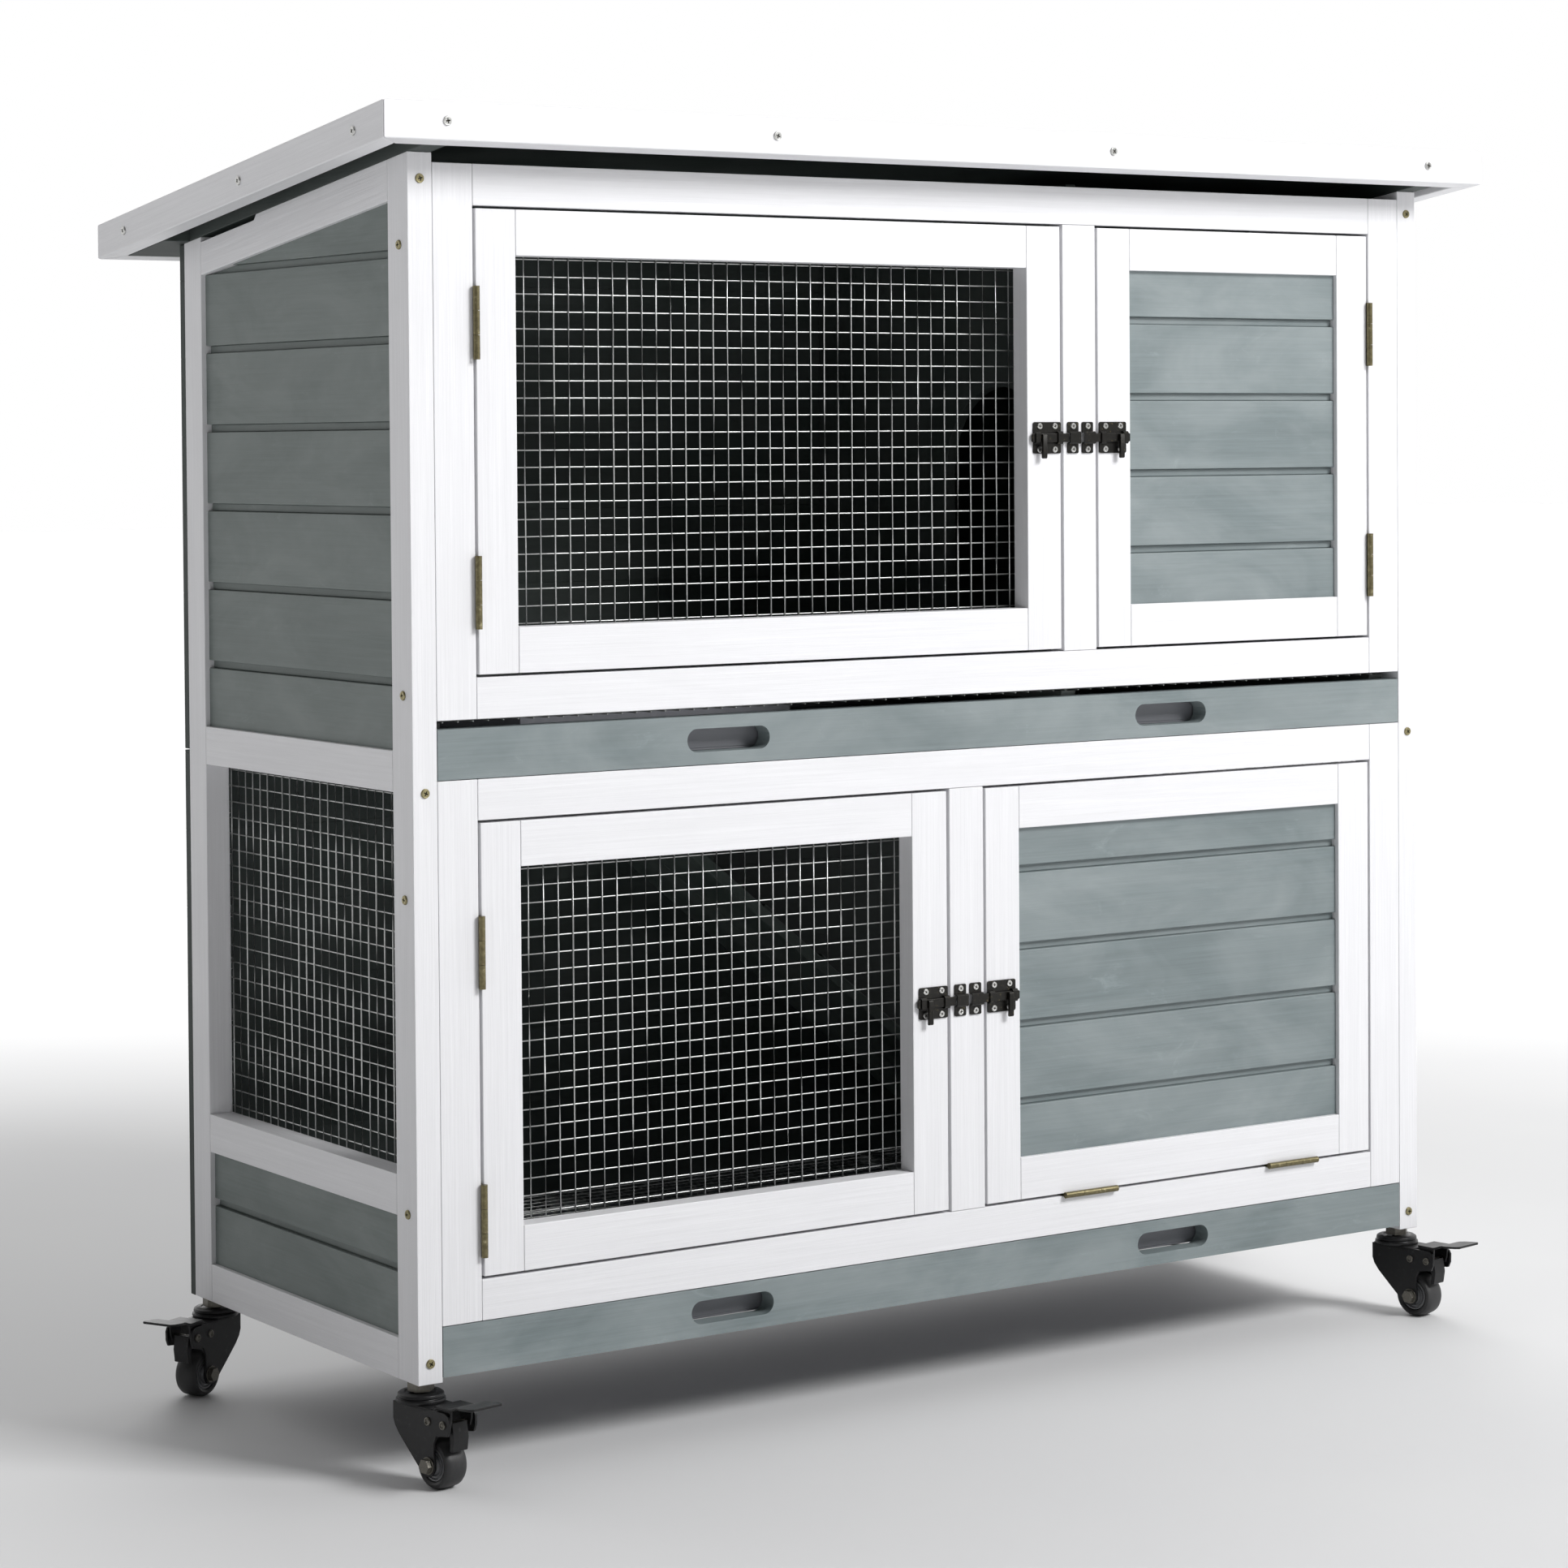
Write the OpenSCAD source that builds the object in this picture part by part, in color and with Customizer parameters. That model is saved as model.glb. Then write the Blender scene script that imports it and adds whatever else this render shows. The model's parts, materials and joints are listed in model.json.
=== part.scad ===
// Two-storey rabbit hutch on four braked swivel casters.
// Millimetres. X runs left to right, Y front to back, Z up from the ground.

/* [Body] */
// Width over the two side frames
body_w = 970; // [900:10:1200]
// Depth of the side frames, front to back
body_d = 370; // [330:5:450]
// Height of the lower front frame
lower_frame_h = 393.5; // [330:0.5:480]
// Height of the upper front frame
upper_frame_h = 400.5; // [340:0.5:490]
// Height of the plank skirt below the side windows
skirt_h = 89; // [60:1:130]
// Fall of the roof towards the back, in degrees
roof_slope = 7.5; // [4:0.5:11]
// Thickness of the back boards
back_t = 8; // [6:1:12]

/* [Timber] */
// Thickness of the side frames
side_t = 20; // [16:1:26]
// Thickness of the front frames and the doors
front_t = 18; // [15:1:22]
// Width of the side stiles and side rails
side_timber_w = 30; // [24:1:40]
// Width of the rails of the front frames
front_rail_w = 30; // [24:1:40]
// Width of the stiles and posts of the front frames
front_stile_w = 33; // [26:1:44]
// Width of the door stiles and door rails
door_timber_w = 33.5; // [26:0.5:44]

/* [Doors] */
// Width of the upper mesh door
upper_door_w = 533; // [420:1:560]
// Width of the lower mesh door
lower_door_w = 418; // [320:1:460]
// Gap all round each door
door_gap = 2; // [1.5:0.1:3]

/* [Planks] */
// Board thickness in the plank fields
plank_t = 10; // [8:0.5:14]
// Height from one groove to the next
plank_pitch = 61.8; // [50:0.1:80]
// Height of each groove
groove_h = 6; // [3:0.5:9]
// Depth of each groove
groove_depth = 4; // [2:0.5:6]
// Setback of the boards from the face of their frame
plank_recess = 4; // [2:0.5:6]
// First groove above the lower edge of a door field
door_groove_z = 44; // [30:1:60]
// First groove above the lower edge of a side field
side_groove_z = 49; // [30:1:60]

/* [Wire] */
// Spacing of the wires
wire_pitch = 12.7; // [10:0.1:25.4]
// Thickness of a wire
wire_t = 1.1; // [0.8:0.1:2]
// How far each wire panel laps over its frame
wire_lap = 6; // [4:1:12]

/* [Roof] */
// Overhang past the front of the side frames
roof_front_over = 40; // [30:1:60]
// Overhang past the back boards
roof_rear_over = 68; // [50:1:90]
// Overhang past each side frame
roof_side_over = 40; // [30:1:60]
// Height of the fascia boards
fascia_h = 27.5; // [24:0.5:40]
// Thickness of the fascia boards
fascia_t = 18; // [12:1:24]
// Thickness of the roof boards
deck_t = 9; // [6:0.5:12]
// Thickness of the roof felt
felt_t = 1.5; // [1:0.5:3]

/* [Trays] */
// Height of the tray front boards
tray_front_h = 36.5; // [32:0.5:40]
// Gap above the upper tray front board
upper_tray_gap = 6.5; // [4:0.5:12]
// Length of a finger slot
slot_l = 74; // [60:1:100]
// Height of a finger slot
slot_h = 17.5; // [14:0.5:24]
// Distance of each slot from the middle of the board
slot_offset = 215; // [150:1:300]
// Height of the tray walls
pan_h = 22; // [18:1:24]
// Thickness of the tray sheet
pan_t = 1.5; // [1:0.5:3]

/* [Inside] */
// Left face of the room divider, from the left of the body
divider_x = 608; // [600:1:614]
// Thickness of the divider
divider_t = 10; // [6:1:12]
// Width of the arched doorway
arch_w = 146; // [120:1:170]
// Height of the arched doorway
arch_h = 244; // [200:1:300]
// Front edge of the doorway, behind the front of the body
arch_y = 36; // [26:1:60]
// Left edge of the ramp hole
hole_x = 225; // [200:1:260]
// Length of the ramp hole
hole_l = 225; // [200:1:260]
// Width of the ramp and of its hole
ramp_w = 136; // [110:1:150]
// Foot of the ramp, from the left of the body
ramp_foot_x = 739; // [650:1:780]
// Thickness of the ramp board
ramp_t = 10; // [8:1:15]

/* [Hardware] */
// Length of a hinge
hinge_l = 53; // [40:1:64]
// Radius of a hinge knuckle
knuckle_r = 2.5; // [2:0.1:3]
// Radius of a hinge pin
pin_r = 1.2; // [1:0.1:1.4]
// Radial clearance of pins, stems and axles
running_fit = 0.05; // [0.02:0.01:0.1]
// Width of a bolt plate
latch_w = 27.5; // [24:0.5:34]
// Height of a bolt plate
latch_h = 25; // [20:0.5:30]
// Radius of a screw head
screw_r = 3.6; // [3:0.1:4.5]

/* [Casters] */
// Height from the ground to the underside of the posts
caster_h = 73; // [70:1:84]
// Radius of a wheel
wheel_r = 18; // [16:0.5:19]
// Width of a wheel
wheel_w = 20; // [16:0.5:22]
// Distance of the axle behind the swivel axis
trail = 24; // [22:0.5:26]
// Reach of a brake pedal from the swivel axis
pedal_reach = 76; // [68:1:84]
// Width of a brake pedal
pedal_w = 30; // [24:1:34]

/* [Hidden] */
$fn = 48;
eps = 0.01;
// hairline between two timbers, or between the two layers of a wire panel
joint_line = 0.02;

// storeys
tray_zone = 40.5;
lower_frame_z = tray_zone;
lower_frame_top = lower_frame_z + lower_frame_h;
tray_clear = 0.5;
upper_tray_z = lower_frame_top + tray_clear;
lower_tray_z = lower_frame_z - tray_clear - tray_front_h;
upper_frame_z = upper_tray_z + tray_front_h + upper_tray_gap;
upper_frame_top = upper_frame_z + upper_frame_h;
roof_vent = 7;
post_h = upper_frame_top + roof_vent;
slope_t = tan(roof_slope);
function roof_z(y) = post_h - slope_t * y;

// side frame rails
mid_rail_z = lower_frame_top - 8.5;
mid_rail_top = mid_rail_z + side_timber_w;
window_z = side_timber_w + skirt_h + side_timber_w;
rear_stile_y = body_d - side_timber_w;
vent_notch_y = 242;
vent_notch_depth = 4;

// front frame openings
front_x0 = side_t;
front_x1 = body_w - side_t;
open_x0 = front_x0 + front_stile_w;
open_x1 = front_x1 - front_stile_w;
post_side_gap = 0.5;
upper_post_x = open_x0 + upper_door_w + 2 * door_gap + post_side_gap;
lower_post_x = open_x0 + lower_door_w + 2 * door_gap + post_side_gap;

// doors: [x0, x1, z0, z1]
upper_z0 = upper_frame_z + front_rail_w + door_gap;
upper_z1 = upper_frame_top - front_rail_w - door_gap;
lower_z0 = lower_frame_z + front_rail_w + door_gap;
lower_z1 = lower_frame_top - front_rail_w - door_gap;
upper_left_door = [open_x0 + door_gap, open_x0 + door_gap + upper_door_w, upper_z0, upper_z1];
upper_right_door = [upper_post_x + front_stile_w + door_gap, open_x1 - door_gap, upper_z0, upper_z1];
lower_left_door = [open_x0 + door_gap, open_x0 + door_gap + lower_door_w, lower_z0, lower_z1];
ramp_door = [lower_post_x + front_stile_w + door_gap, open_x1 - door_gap, lower_z0, lower_z1];

// hinges: leaves lie in the door gap, knuckles in front of the face
leaf_t = 0.8;
leaf_l = 14;
barrel_gap = 0.3;
hinge_y = -(knuckle_r + barrel_gap);
knuckle_clear = 0.3;
knuckle_l = (hinge_l - 2 * knuckle_clear) / 3;
upper_hinge_z = [upper_z0 + 33, upper_z1 - 109];
lower_hinge_z = [lower_z0 + 14.5, lower_z1 - 120];
ramp_hinge_x = [ramp_door[0] + 76, ramp_door[1] - 61 - hinge_l];
roof_hinge_l = 60;
roof_hinge_inset = 140;
roof_hinge_x = [roof_hinge_inset, body_w - roof_hinge_inset - roof_hinge_l];

// latches
plate_t = 1.2;
strap_w = 5;
strap_t = 1;
bar_h = 7;
bar_t = 2.2;
bar_clear = 0.4;
bar_tail = 2.5;
bar_tip = 6.4;
knob_w = 4.5;
knob_drop = 16.5;
latch_inset = 0.8;
upper_latch_z = upper_z0 + 168.5;
lower_latch_z = lower_z0 + 164.5;
keeper_w = 11;
keeper_inset = 3.6;

// floors and trays
runner_w = 14;
runner_h = 9;
pan_clear = 3;
bearer_h = 7;
pan_lift = runner_h + 0.2;
lower_floor_z = lower_tray_z + pan_lift + pan_h + 1.5 + bearer_h;
upper_floor_z = upper_tray_z + pan_lift + pan_h + 1.5 + bearer_h;
pan_d = body_d - front_t - 22;
hole_trim = 10;
hole_y0 = body_d - ramp_w - hole_trim;
notch_clear = 12;

// ramp along the back boards
ramp_y0 = body_d - ramp_w;
ramp_top_z = upper_floor_z - 8;
ramp_foot_z = lower_floor_z + 4;
ramp_rise = ramp_top_z - ramp_foot_z;
ramp_run = ramp_foot_x - hole_x;
ramp_l = sqrt(ramp_rise * ramp_rise + ramp_run * ramp_run);
ramp_angle = atan2(ramp_rise, ramp_run);
cleat_h = 5;
cleat_w = 9;
cleat_count = 8;

// roof
roof_y0 = -roof_front_over;
roof_y1 = body_d + back_t + roof_rear_over;
roof_x0 = -roof_side_over;
roof_x1 = body_w + roof_side_over;
batten_h = fascia_h - deck_t - felt_t;
batten_w = 20;
deck_boards = 6;
deck_groove = 1;
roof_axis_y = body_d + back_t + knuckle_r + barrel_gap;
roof_axis_z = roof_z(roof_axis_y) - knuckle_r - barrel_gap;
roof_leaf_drop = 22;
roof_leaf_z = (knuckle_r + barrel_gap) * cos(roof_slope);

// screws
screw_t = 1.8;
post_screw_z = [15, 426, 866];
side_screw_z = [122, 349, 496, 819];
fascia_screw_x = [11, 291, 611, 948];
fascia_screw_y = [5, 189, 395];

// casters
stem_r = 4;
stem_up = 28;
nut_r = 9.8;
nut_h = 6.5;
cap_top = caster_h - nut_h - 0.5;
cap_h = 7;
cap_r = 18;
fork_top = cap_top - cap_h;
fork_plate = 2;
fork_gap = 1;
fork_rear = 16;
fork_plate_x = 27;
fork_w = wheel_w + 2 * fork_gap + 2 * fork_plate;
axle_r = 3;
brake_pin_r = 1.6;
brake_x = 41;
brake_z = fork_top - 9;
stem_xy = [side_t / 2, side_timber_w / 2];
// [x, y, direction of the pedal]
caster_places = [
    [stem_xy[0], stem_xy[1], -80],
    [body_w - stem_xy[0], stem_xy[1], -80],
    [stem_xy[0], body_d - stem_xy[1], -152],
    [body_w - stem_xy[0], body_d - stem_xy[1], -28]
];

// the ground origin is the middle of everything that overhangs
pedal_dir = caster_places[0][2];
reach_y0 = stem_xy[1] + pedal_reach * sin(pedal_dir) - pedal_w / 2 * cos(pedal_dir);
front_y = -(min(reach_y0, roof_y0 - screw_t) + roof_y1 + screw_t) / 2;

white = [0.93, 0.93, 0.94];
grey_green = [0.45, 0.51, 0.51];
dark_green = [0.16, 0.24, 0.21];
wire_grey = [0.72, 0.73, 0.70];
tray_grey = [0.50, 0.52, 0.56];
bronze = [0.45, 0.38, 0.24];
black = [0.08, 0.08, 0.08];
steel = [0.75, 0.75, 0.72];

// ---------- helpers ----------

// body frame: left front foot of the posts at [0, 0, 0]
module on_body() {
    translate([-body_w / 2, front_y, caster_h])
        children();
}

// mirrored onto the right half of the body
module on_right() {
    translate([body_w, 0, 0])
        mirror([1, 0, 0])
            children();
}

module block(x0, x1, y0, y1, z0, z1) {
    translate([x0, y0, z0])
        cube([x1 - x0, y1 - y0, z1 - z0]);
}

// outline in Y and Z, extruded from x0 to x0 + t
module from_side(x0, t) {
    translate([x0, 0, 0])
        rotate([90, 0, 90])
            linear_extrude(t)
                children();
}

// four timbers round an opening, standing in the front plane
module timber_frame(p, stile, rail, y0, t) {
    block(p[0], p[0] + stile, y0, y0 + t, p[2], p[3]);
    block(p[1] - stile, p[1], y0, y0 + t, p[2], p[3]);
    x0 = p[0] + stile + joint_line;
    x1 = p[1] - stile - joint_line;
    block(x0, x1, y0, y0 + t, p[2], p[2] + rail);
    block(x0, x1, y0, y0 + t, p[3] - rail, p[3]);
}

// ---------- side frames ----------

module side_outline(y0, y1, drop0, drop1, z0) {
    polygon([[y0, z0], [y1, z0], [y1, roof_z(y1) - drop1], [y0, roof_z(y0) - drop0]]);
}

module side_frame_timbers() {
    difference() {
        from_side(0, side_t)
            side_outline(0, side_timber_w, 0, 0, 0);
        stem_bore(stem_xy[1]);
    }
    difference() {
        from_side(0, side_t)
            side_outline(rear_stile_y, body_d, 0, 0, 0);
        stem_bore(body_d - stem_xy[1]);
    }
    y0 = side_timber_w + joint_line;
    y1 = rear_stile_y - joint_line;
    rails_z = [0, side_timber_w + skirt_h, mid_rail_z];
    for (z = rails_z)
        block(0, side_t, y0, y1, z, z + side_timber_w);
    from_side(0, side_t)
        polygon([
            [y0, roof_z(y0) - side_timber_w],
            [y1, roof_z(y1) - side_timber_w],
            [y1, roof_z(y1) - vent_notch_depth],
            [vent_notch_y, roof_z(vent_notch_y) - vent_notch_depth],
            [vent_notch_y, roof_z(vent_notch_y)],
            [y0, roof_z(y0)]
        ]);
}

module stem_bore(y) {
    translate([stem_xy[0], y, -eps])
        cylinder(r = stem_r + running_fit, h = stem_up + 1);
}

module left_side_frame() {
    color(white)
        on_body()
            side_frame_timbers();
}

module right_side_frame() {
    color(white)
        on_body()
            on_right()
                side_frame_timbers();
}

// boards of a side field between z0 and the outline's top
module side_boards(z0, z1, sloped) {
    x0 = plank_recess;
    top = sloped ? post_h : z1;
    count = ceil((top - z0 - side_groove_z) / plank_pitch);
    for (i = [0 : count]) {
        low = i == 0 ? z0 : z0 + side_groove_z + (i - 1) * plank_pitch + groove_h / 2;
        high = z0 + side_groove_z + i * plank_pitch - groove_h / 2;
        side_strip(x0, plank_t, low, min(high, top), z0, z1, sloped);
        side_strip(x0 + groove_depth, plank_t - groove_depth, high,
            min(high + groove_h, top), z0, z1, sloped);
    }
}

module side_strip(x0, t, low, high, z0, z1, sloped) {
    top = sloped ? post_h : z1;
    edge = sloped ? roof_z(side_timber_w) - side_timber_w : z1;
    if (low < min(top, edge) - 1)
        from_side(x0, t)
            intersection() {
                translate([side_timber_w, low])
                    square([rear_stile_y - side_timber_w, high - low]);
                if (sloped)
                    side_outline(side_timber_w, rear_stile_y, side_timber_w, side_timber_w, z0);
                else
                    translate([side_timber_w, z0])
                        square([rear_stile_y - side_timber_w, z1 - z0]);
            }
}

module side_planks() {
    side_boards(mid_rail_top, 0, true);
    side_boards(side_timber_w, side_timber_w + skirt_h, false);
}

module left_side_planks() {
    color(grey_green)
        on_body()
            side_planks();
}

module right_side_planks() {
    color(grey_green)
        on_body()
            on_right()
                side_planks();
}

// ---------- wire ----------

// wires of an upright panel over the opening [a0, a1] x [z0, z1], growing along +Y
module wire_grid(a0, a1, z0, z1) {
    across = floor((a1 - a0) / wire_pitch);
    up = floor((z1 - z0) / wire_pitch);
    start_a = (a0 + a1 - across * wire_pitch) / 2;
    start_z = (z0 + z1 - up * wire_pitch) / 2;
    for (i = [0 : across])
        translate([start_a + i * wire_pitch - wire_t / 2, 0, z0 - wire_lap])
            cube([wire_t, wire_t, z1 - z0 + 2 * wire_lap]);
    for (k = [0 : up])
        translate([a0 - wire_lap, wire_t + joint_line, start_z + k * wire_pitch - wire_t / 2])
            cube([a1 - a0 + 2 * wire_lap, wire_t, wire_t]);
}

module side_wire() {
    translate([side_t, 0, 0])
        rotate([0, 0, 90])
            mirror([0, 1, 0])
                wire_grid(side_timber_w, rear_stile_y, window_z, mid_rail_z);
}

module left_side_mesh() {
    color(wire_grey)
        on_body()
            side_wire();
}

module right_side_mesh() {
    color(wire_grey)
        on_body()
            on_right()
                side_wire();
}

// ---------- front frames ----------

module upper_front_frame() {
    color(white)
        on_body() {
            timber_frame([front_x0, front_x1, upper_frame_z, upper_frame_top],
                front_stile_w, front_rail_w, 0, front_t);
            block(upper_post_x, upper_post_x + front_stile_w, 0, front_t,
                upper_z0 - door_gap + joint_line, upper_z1 + door_gap - joint_line);
        }
}

module lower_front_frame() {
    color(white)
        on_body() {
            timber_frame([front_x0, front_x1, lower_frame_z, lower_frame_top],
                front_stile_w, front_rail_w, 0, front_t);
            block(lower_post_x, lower_post_x + front_stile_w, 0, front_t,
                lower_z0 - door_gap + joint_line, lower_z1 + door_gap - joint_line);
        }
}

// ---------- back boards ----------

// level boards with grooves on the outer face
module back_boards(z0, z1) {
    last = ceil((z1 - z0 - groove_h) / plank_pitch) - 1;
    cut = groove_depth / 2;
    for (i = [0 : last]) {
        low = z0 + i * plank_pitch;
        high = i == last ? z1 : low + plank_pitch;
        lip = i == 0 ? 0 : groove_h / 2;
        block(0, body_w, body_d, body_d + back_t, low + lip, high);
        if (i > 0)
            block(0, body_w, body_d, body_d + back_t - cut, low, low + lip);
    }
}

module back_upper_panel() {
    color(dark_green)
        on_body()
            back_boards(lower_frame_top + 2, roof_z(body_d + back_t));
}

module back_lower_panel() {
    color(dark_green)
        on_body()
            back_boards(0, lower_frame_top + 1);
}

// ---------- floors ----------

module floor_runners() {
    color(white)
        on_body() {
            for (base = [lower_tray_z, upper_tray_z])
                for (x = [side_t, body_w - side_t - runner_w]) {
                    floor_z = base == lower_tray_z ? lower_floor_z : upper_floor_z;
                    block(x, x + runner_w, front_t + 2 * wire_t + 1, body_d,
                        base, base + runner_h);
                    block(x, x + runner_w, front_t + 2 * wire_t + 1, body_d,
                        floor_z - bearer_h, floor_z);
                }
            for (x = [body_w / 3, body_w * 2 / 3])
                block(x, x + runner_w, front_t, body_d, lower_floor_z - bearer_h, lower_floor_z);
            block(divider_x - runner_w / 2, divider_x + runner_w / 2, front_t, body_d,
                upper_floor_z - bearer_h, upper_floor_z);
            hole_trims();
        }
}

module hole_trims() {
    z0 = upper_floor_z - bearer_h;
    x1 = hole_x + hole_l;
    block(side_t + runner_w, divider_x - runner_w / 2, hole_y0, hole_y0 + hole_trim,
        z0, upper_floor_z);
    for (x = [hole_x - hole_trim, x1])
        block(x, x + hole_trim, hole_y0 + hole_trim, body_d, z0, upper_floor_z);
}

// wires of a level panel, cut away over the ramp hole where there is one
module floor_wire(z, hole) {
    x0 = side_t + 2;
    x1 = body_w - side_t - 2;
    y0 = front_t + 1;
    y1 = body_d - 1;
    across = floor((x1 - x0) / wire_pitch);
    deep = floor((y1 - y0) / wire_pitch);
    hole_end = hole_x + hole_l;
    low = z + wire_t + joint_line;
    for (i = [0 : across]) {
        x = x0 + i * wire_pitch;
        over_hole = hole && x > hole_x - wire_t && x < hole_end;
        translate([x, y0, z])
            cube([wire_t, (over_hole ? hole_y0 + hole_trim : y1) - y0, wire_t]);
    }
    for (k = [0 : deep]) {
        y = y0 + k * wire_pitch;
        if (hole && y > hole_y0 + hole_trim - wire_t) {
            block(x0, hole_x, y, y + wire_t, low, low + wire_t);
            block(hole_end, x1, y, y + wire_t, low, low + wire_t);
        } else
            block(x0, x1, y, y + wire_t, low, low + wire_t);
    }
}

module upper_floor_mesh() {
    color(wire_grey)
        on_body()
            floor_wire(upper_floor_z, true);
}

module lower_floor_mesh() {
    color(wire_grey)
        on_body()
            floor_wire(lower_floor_z, false);
}

// ---------- divider and ramp ----------

module room_divider() {
    foot = upper_floor_z + 2 * wire_t + joint_line;
    y0 = front_t;
    y1 = body_d;
    ceiling_gap = 1;
    spring = foot + arch_h - arch_w / 2;
    color(grey_green)
        on_body()
            from_side(divider_x, divider_t)
                difference() {
                    polygon([
                        [y0, foot], [y1, foot],
                        [y1, roof_z(y1) - ceiling_gap], [y0, roof_z(y0) - ceiling_gap]
                    ]);
                    translate([arch_y, foot - 1])
                        square([arch_w, spring - foot + 1]);
                    translate([arch_y + arch_w / 2, spring])
                        circle(r = arch_w / 2, $fn = 72);
                }
}

module inner_ramp() {
    color(grey_green)
        on_body()
            translate([ramp_foot_x, ramp_y0, ramp_foot_z])
                rotate([0, ramp_angle, 0])
                    translate([-ramp_l, 0, 0]) {
                        cube([ramp_l, ramp_w, ramp_t]);
                        for (i = [1 : cleat_count])
                            translate([i * ramp_l / (cleat_count + 1), 8, ramp_t])
                                cube([cleat_w, ramp_w - 16, cleat_h]);
                    }
}

// ---------- screws ----------

module screw_head() {
    cylinder(r1 = screw_r, r2 = screw_r * 0.72, h = screw_t, $fn = 32);
}

module frame_screws() {
    color(steel)
        on_body() {
            for (x = [side_t / 2, body_w - side_t / 2])
                for (z = post_screw_z)
                    translate([x, 0, z])
                        rotate([90, 0, 0])
                            screw_head();
            for (z = side_screw_z) {
                translate([0, 13, z])
                    rotate([0, -90, 0])
                        screw_head();
                translate([body_w, 13, z])
                    rotate([0, 90, 0])
                        screw_head();
            }
        }
}

// ---------- hinges ----------

// axis along Z from 0 to hinge_l; leaves run towards +Y on each side of the axis
module knuckle(z, l) {
    translate([0, 0, z])
        cylinder(r = knuckle_r, h = l);
}

module hinge_bore() {
    translate([0, 0, -1])
        cylinder(r = pin_r + running_fit, h = hinge_l + 2);
}

module fixed_leaf() {
    step = knuckle_l + knuckle_clear;
    half_gap = door_gap / 2;
    difference() {
        union() {
            for (z = [0, 2 * step]) {
                knuckle(z, knuckle_l);
                translate([-half_gap, 0, z])
                    cube([leaf_t, -hinge_y + 0.3, knuckle_l]);
            }
            translate([-half_gap, -hinge_y + 0.2, 0])
                cube([leaf_t, leaf_l, hinge_l]);
        }
        hinge_bore();
    }
}

module moving_leaf() {
    step = knuckle_l + knuckle_clear;
    half_gap = door_gap / 2;
    knuckle(step, knuckle_l);
    cylinder(r = pin_r, h = hinge_l);
    translate([half_gap - leaf_t, 0, step])
        cube([leaf_t, -hinge_y + 0.3, knuckle_l]);
    translate([half_gap - leaf_t, -hinge_y + 0.2, 0])
        cube([leaf_t, leaf_l, hinge_l]);
}

// hinges on the left edge of a door
module left_hinges(door, heights) {
    for (z = heights)
        translate([door[0] - door_gap / 2, hinge_y, z])
            children();
}

// hinges on the right edge of a door
module right_hinges(door, heights) {
    for (z = heights)
        translate([door[1] + door_gap / 2, hinge_y, z])
            mirror([1, 0, 0])
                children();
}

// hinges along the lower edge of the ramp door
module ramp_hinges() {
    for (x = ramp_hinge_x)
        translate([x, hinge_y, ramp_door[2] - door_gap / 2])
            rotate([0, 90, 0])
                mirror([1, 0, 0])
                    children();
}

module roof_fixed_leaves() {
    step = (roof_hinge_l - 2 * knuckle_clear) / 3;
    for (x = roof_hinge_x)
        translate([x, roof_axis_y, roof_axis_z])
            difference() {
                union() {
                    for (k = [0, 2])
                        translate([k * (step + knuckle_clear), 0, 0]) {
                            rotate([0, 90, 0])
                                cylinder(r = knuckle_r, h = step);
                            translate([0, -knuckle_r - barrel_gap, -knuckle_r])
                                cube([step, knuckle_r + barrel_gap, leaf_t]);
                        }
                    translate([0, -knuckle_r - barrel_gap, -roof_leaf_drop])
                        cube([roof_hinge_l, leaf_t, roof_leaf_drop - knuckle_r + 0.1]);
                }
                translate([-1, 0, 0])
                    rotate([0, 90, 0])
                        cylinder(r = pin_r + running_fit, h = roof_hinge_l + 2);
            }
}

module fixed_hinge_leaves() {
    color(bronze)
        on_body() {
            left_hinges(upper_left_door, upper_hinge_z)
                fixed_leaf();
            right_hinges(upper_right_door, upper_hinge_z)
                fixed_leaf();
            left_hinges(lower_left_door, lower_hinge_z)
                fixed_leaf();
            ramp_hinges()
                fixed_leaf();
            roof_fixed_leaves();
        }
}

// ---------- latches ----------

// bolt plate centred on [0, 0], bolt runs towards +X, front is -Y
module latch_plate() {
    inner = bar_h / 2 + bar_clear;
    rise = bar_t + bar_clear;
    translate([-latch_w / 2, -plate_t, -latch_h / 2])
        cube([latch_w, plate_t, latch_h]);
    for (x = [-latch_w / 2, latch_w / 2 - strap_w]) {
        translate([x, -plate_t - rise - strap_t, -inner - strap_t])
            cube([strap_w, strap_t, 2 * (inner + strap_t)]);
        for (z = [-inner - strap_t, inner])
            translate([x, -plate_t - rise, z])
                cube([strap_w, rise, strap_t]);
    }
}

// the bolt is drawn back: its tip stands just short of the keeper
module latch_bolt() {
    y = -plate_t - bar_clear / 2 - bar_t;
    knob_x = -latch_w / 2 + strap_w + 0.5;
    translate([-latch_w / 2 - bar_tail, y, -bar_h / 2])
        cube([latch_w + bar_tail + bar_tip, bar_t, bar_h]);
    translate([knob_x, y - 3, -knob_drop])
        cube([knob_w, 3, knob_drop + bar_h / 2]);
}

// loop on the centre post that takes the bolt's tip
module keeper() {
    inner = bar_h / 2 + bar_clear;
    rise = bar_t + plate_t + bar_clear;
    for (s = [0, 1])
        mirror([0, 0, s]) {
            translate([0, -plate_t, inner])
                cube([keeper_w, plate_t, latch_h / 2 - inner]);
            translate([0, -rise, inner])
                cube([keeper_w, rise - plate_t, strap_t]);
        }
    translate([0, -rise - strap_t, -inner - strap_t])
        cube([keeper_w, strap_t, 2 * (inner + strap_t)]);
}

// plate centre, measured in from the free edge of each door
module left_latch(door, z) {
    translate([door[1] - latch_inset - latch_w / 2, 0, z])
        children();
}

module right_latch(door, z) {
    translate([door[0] + latch_inset + latch_w / 2, 0, z])
        mirror([1, 0, 0])
            children();
}

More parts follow.
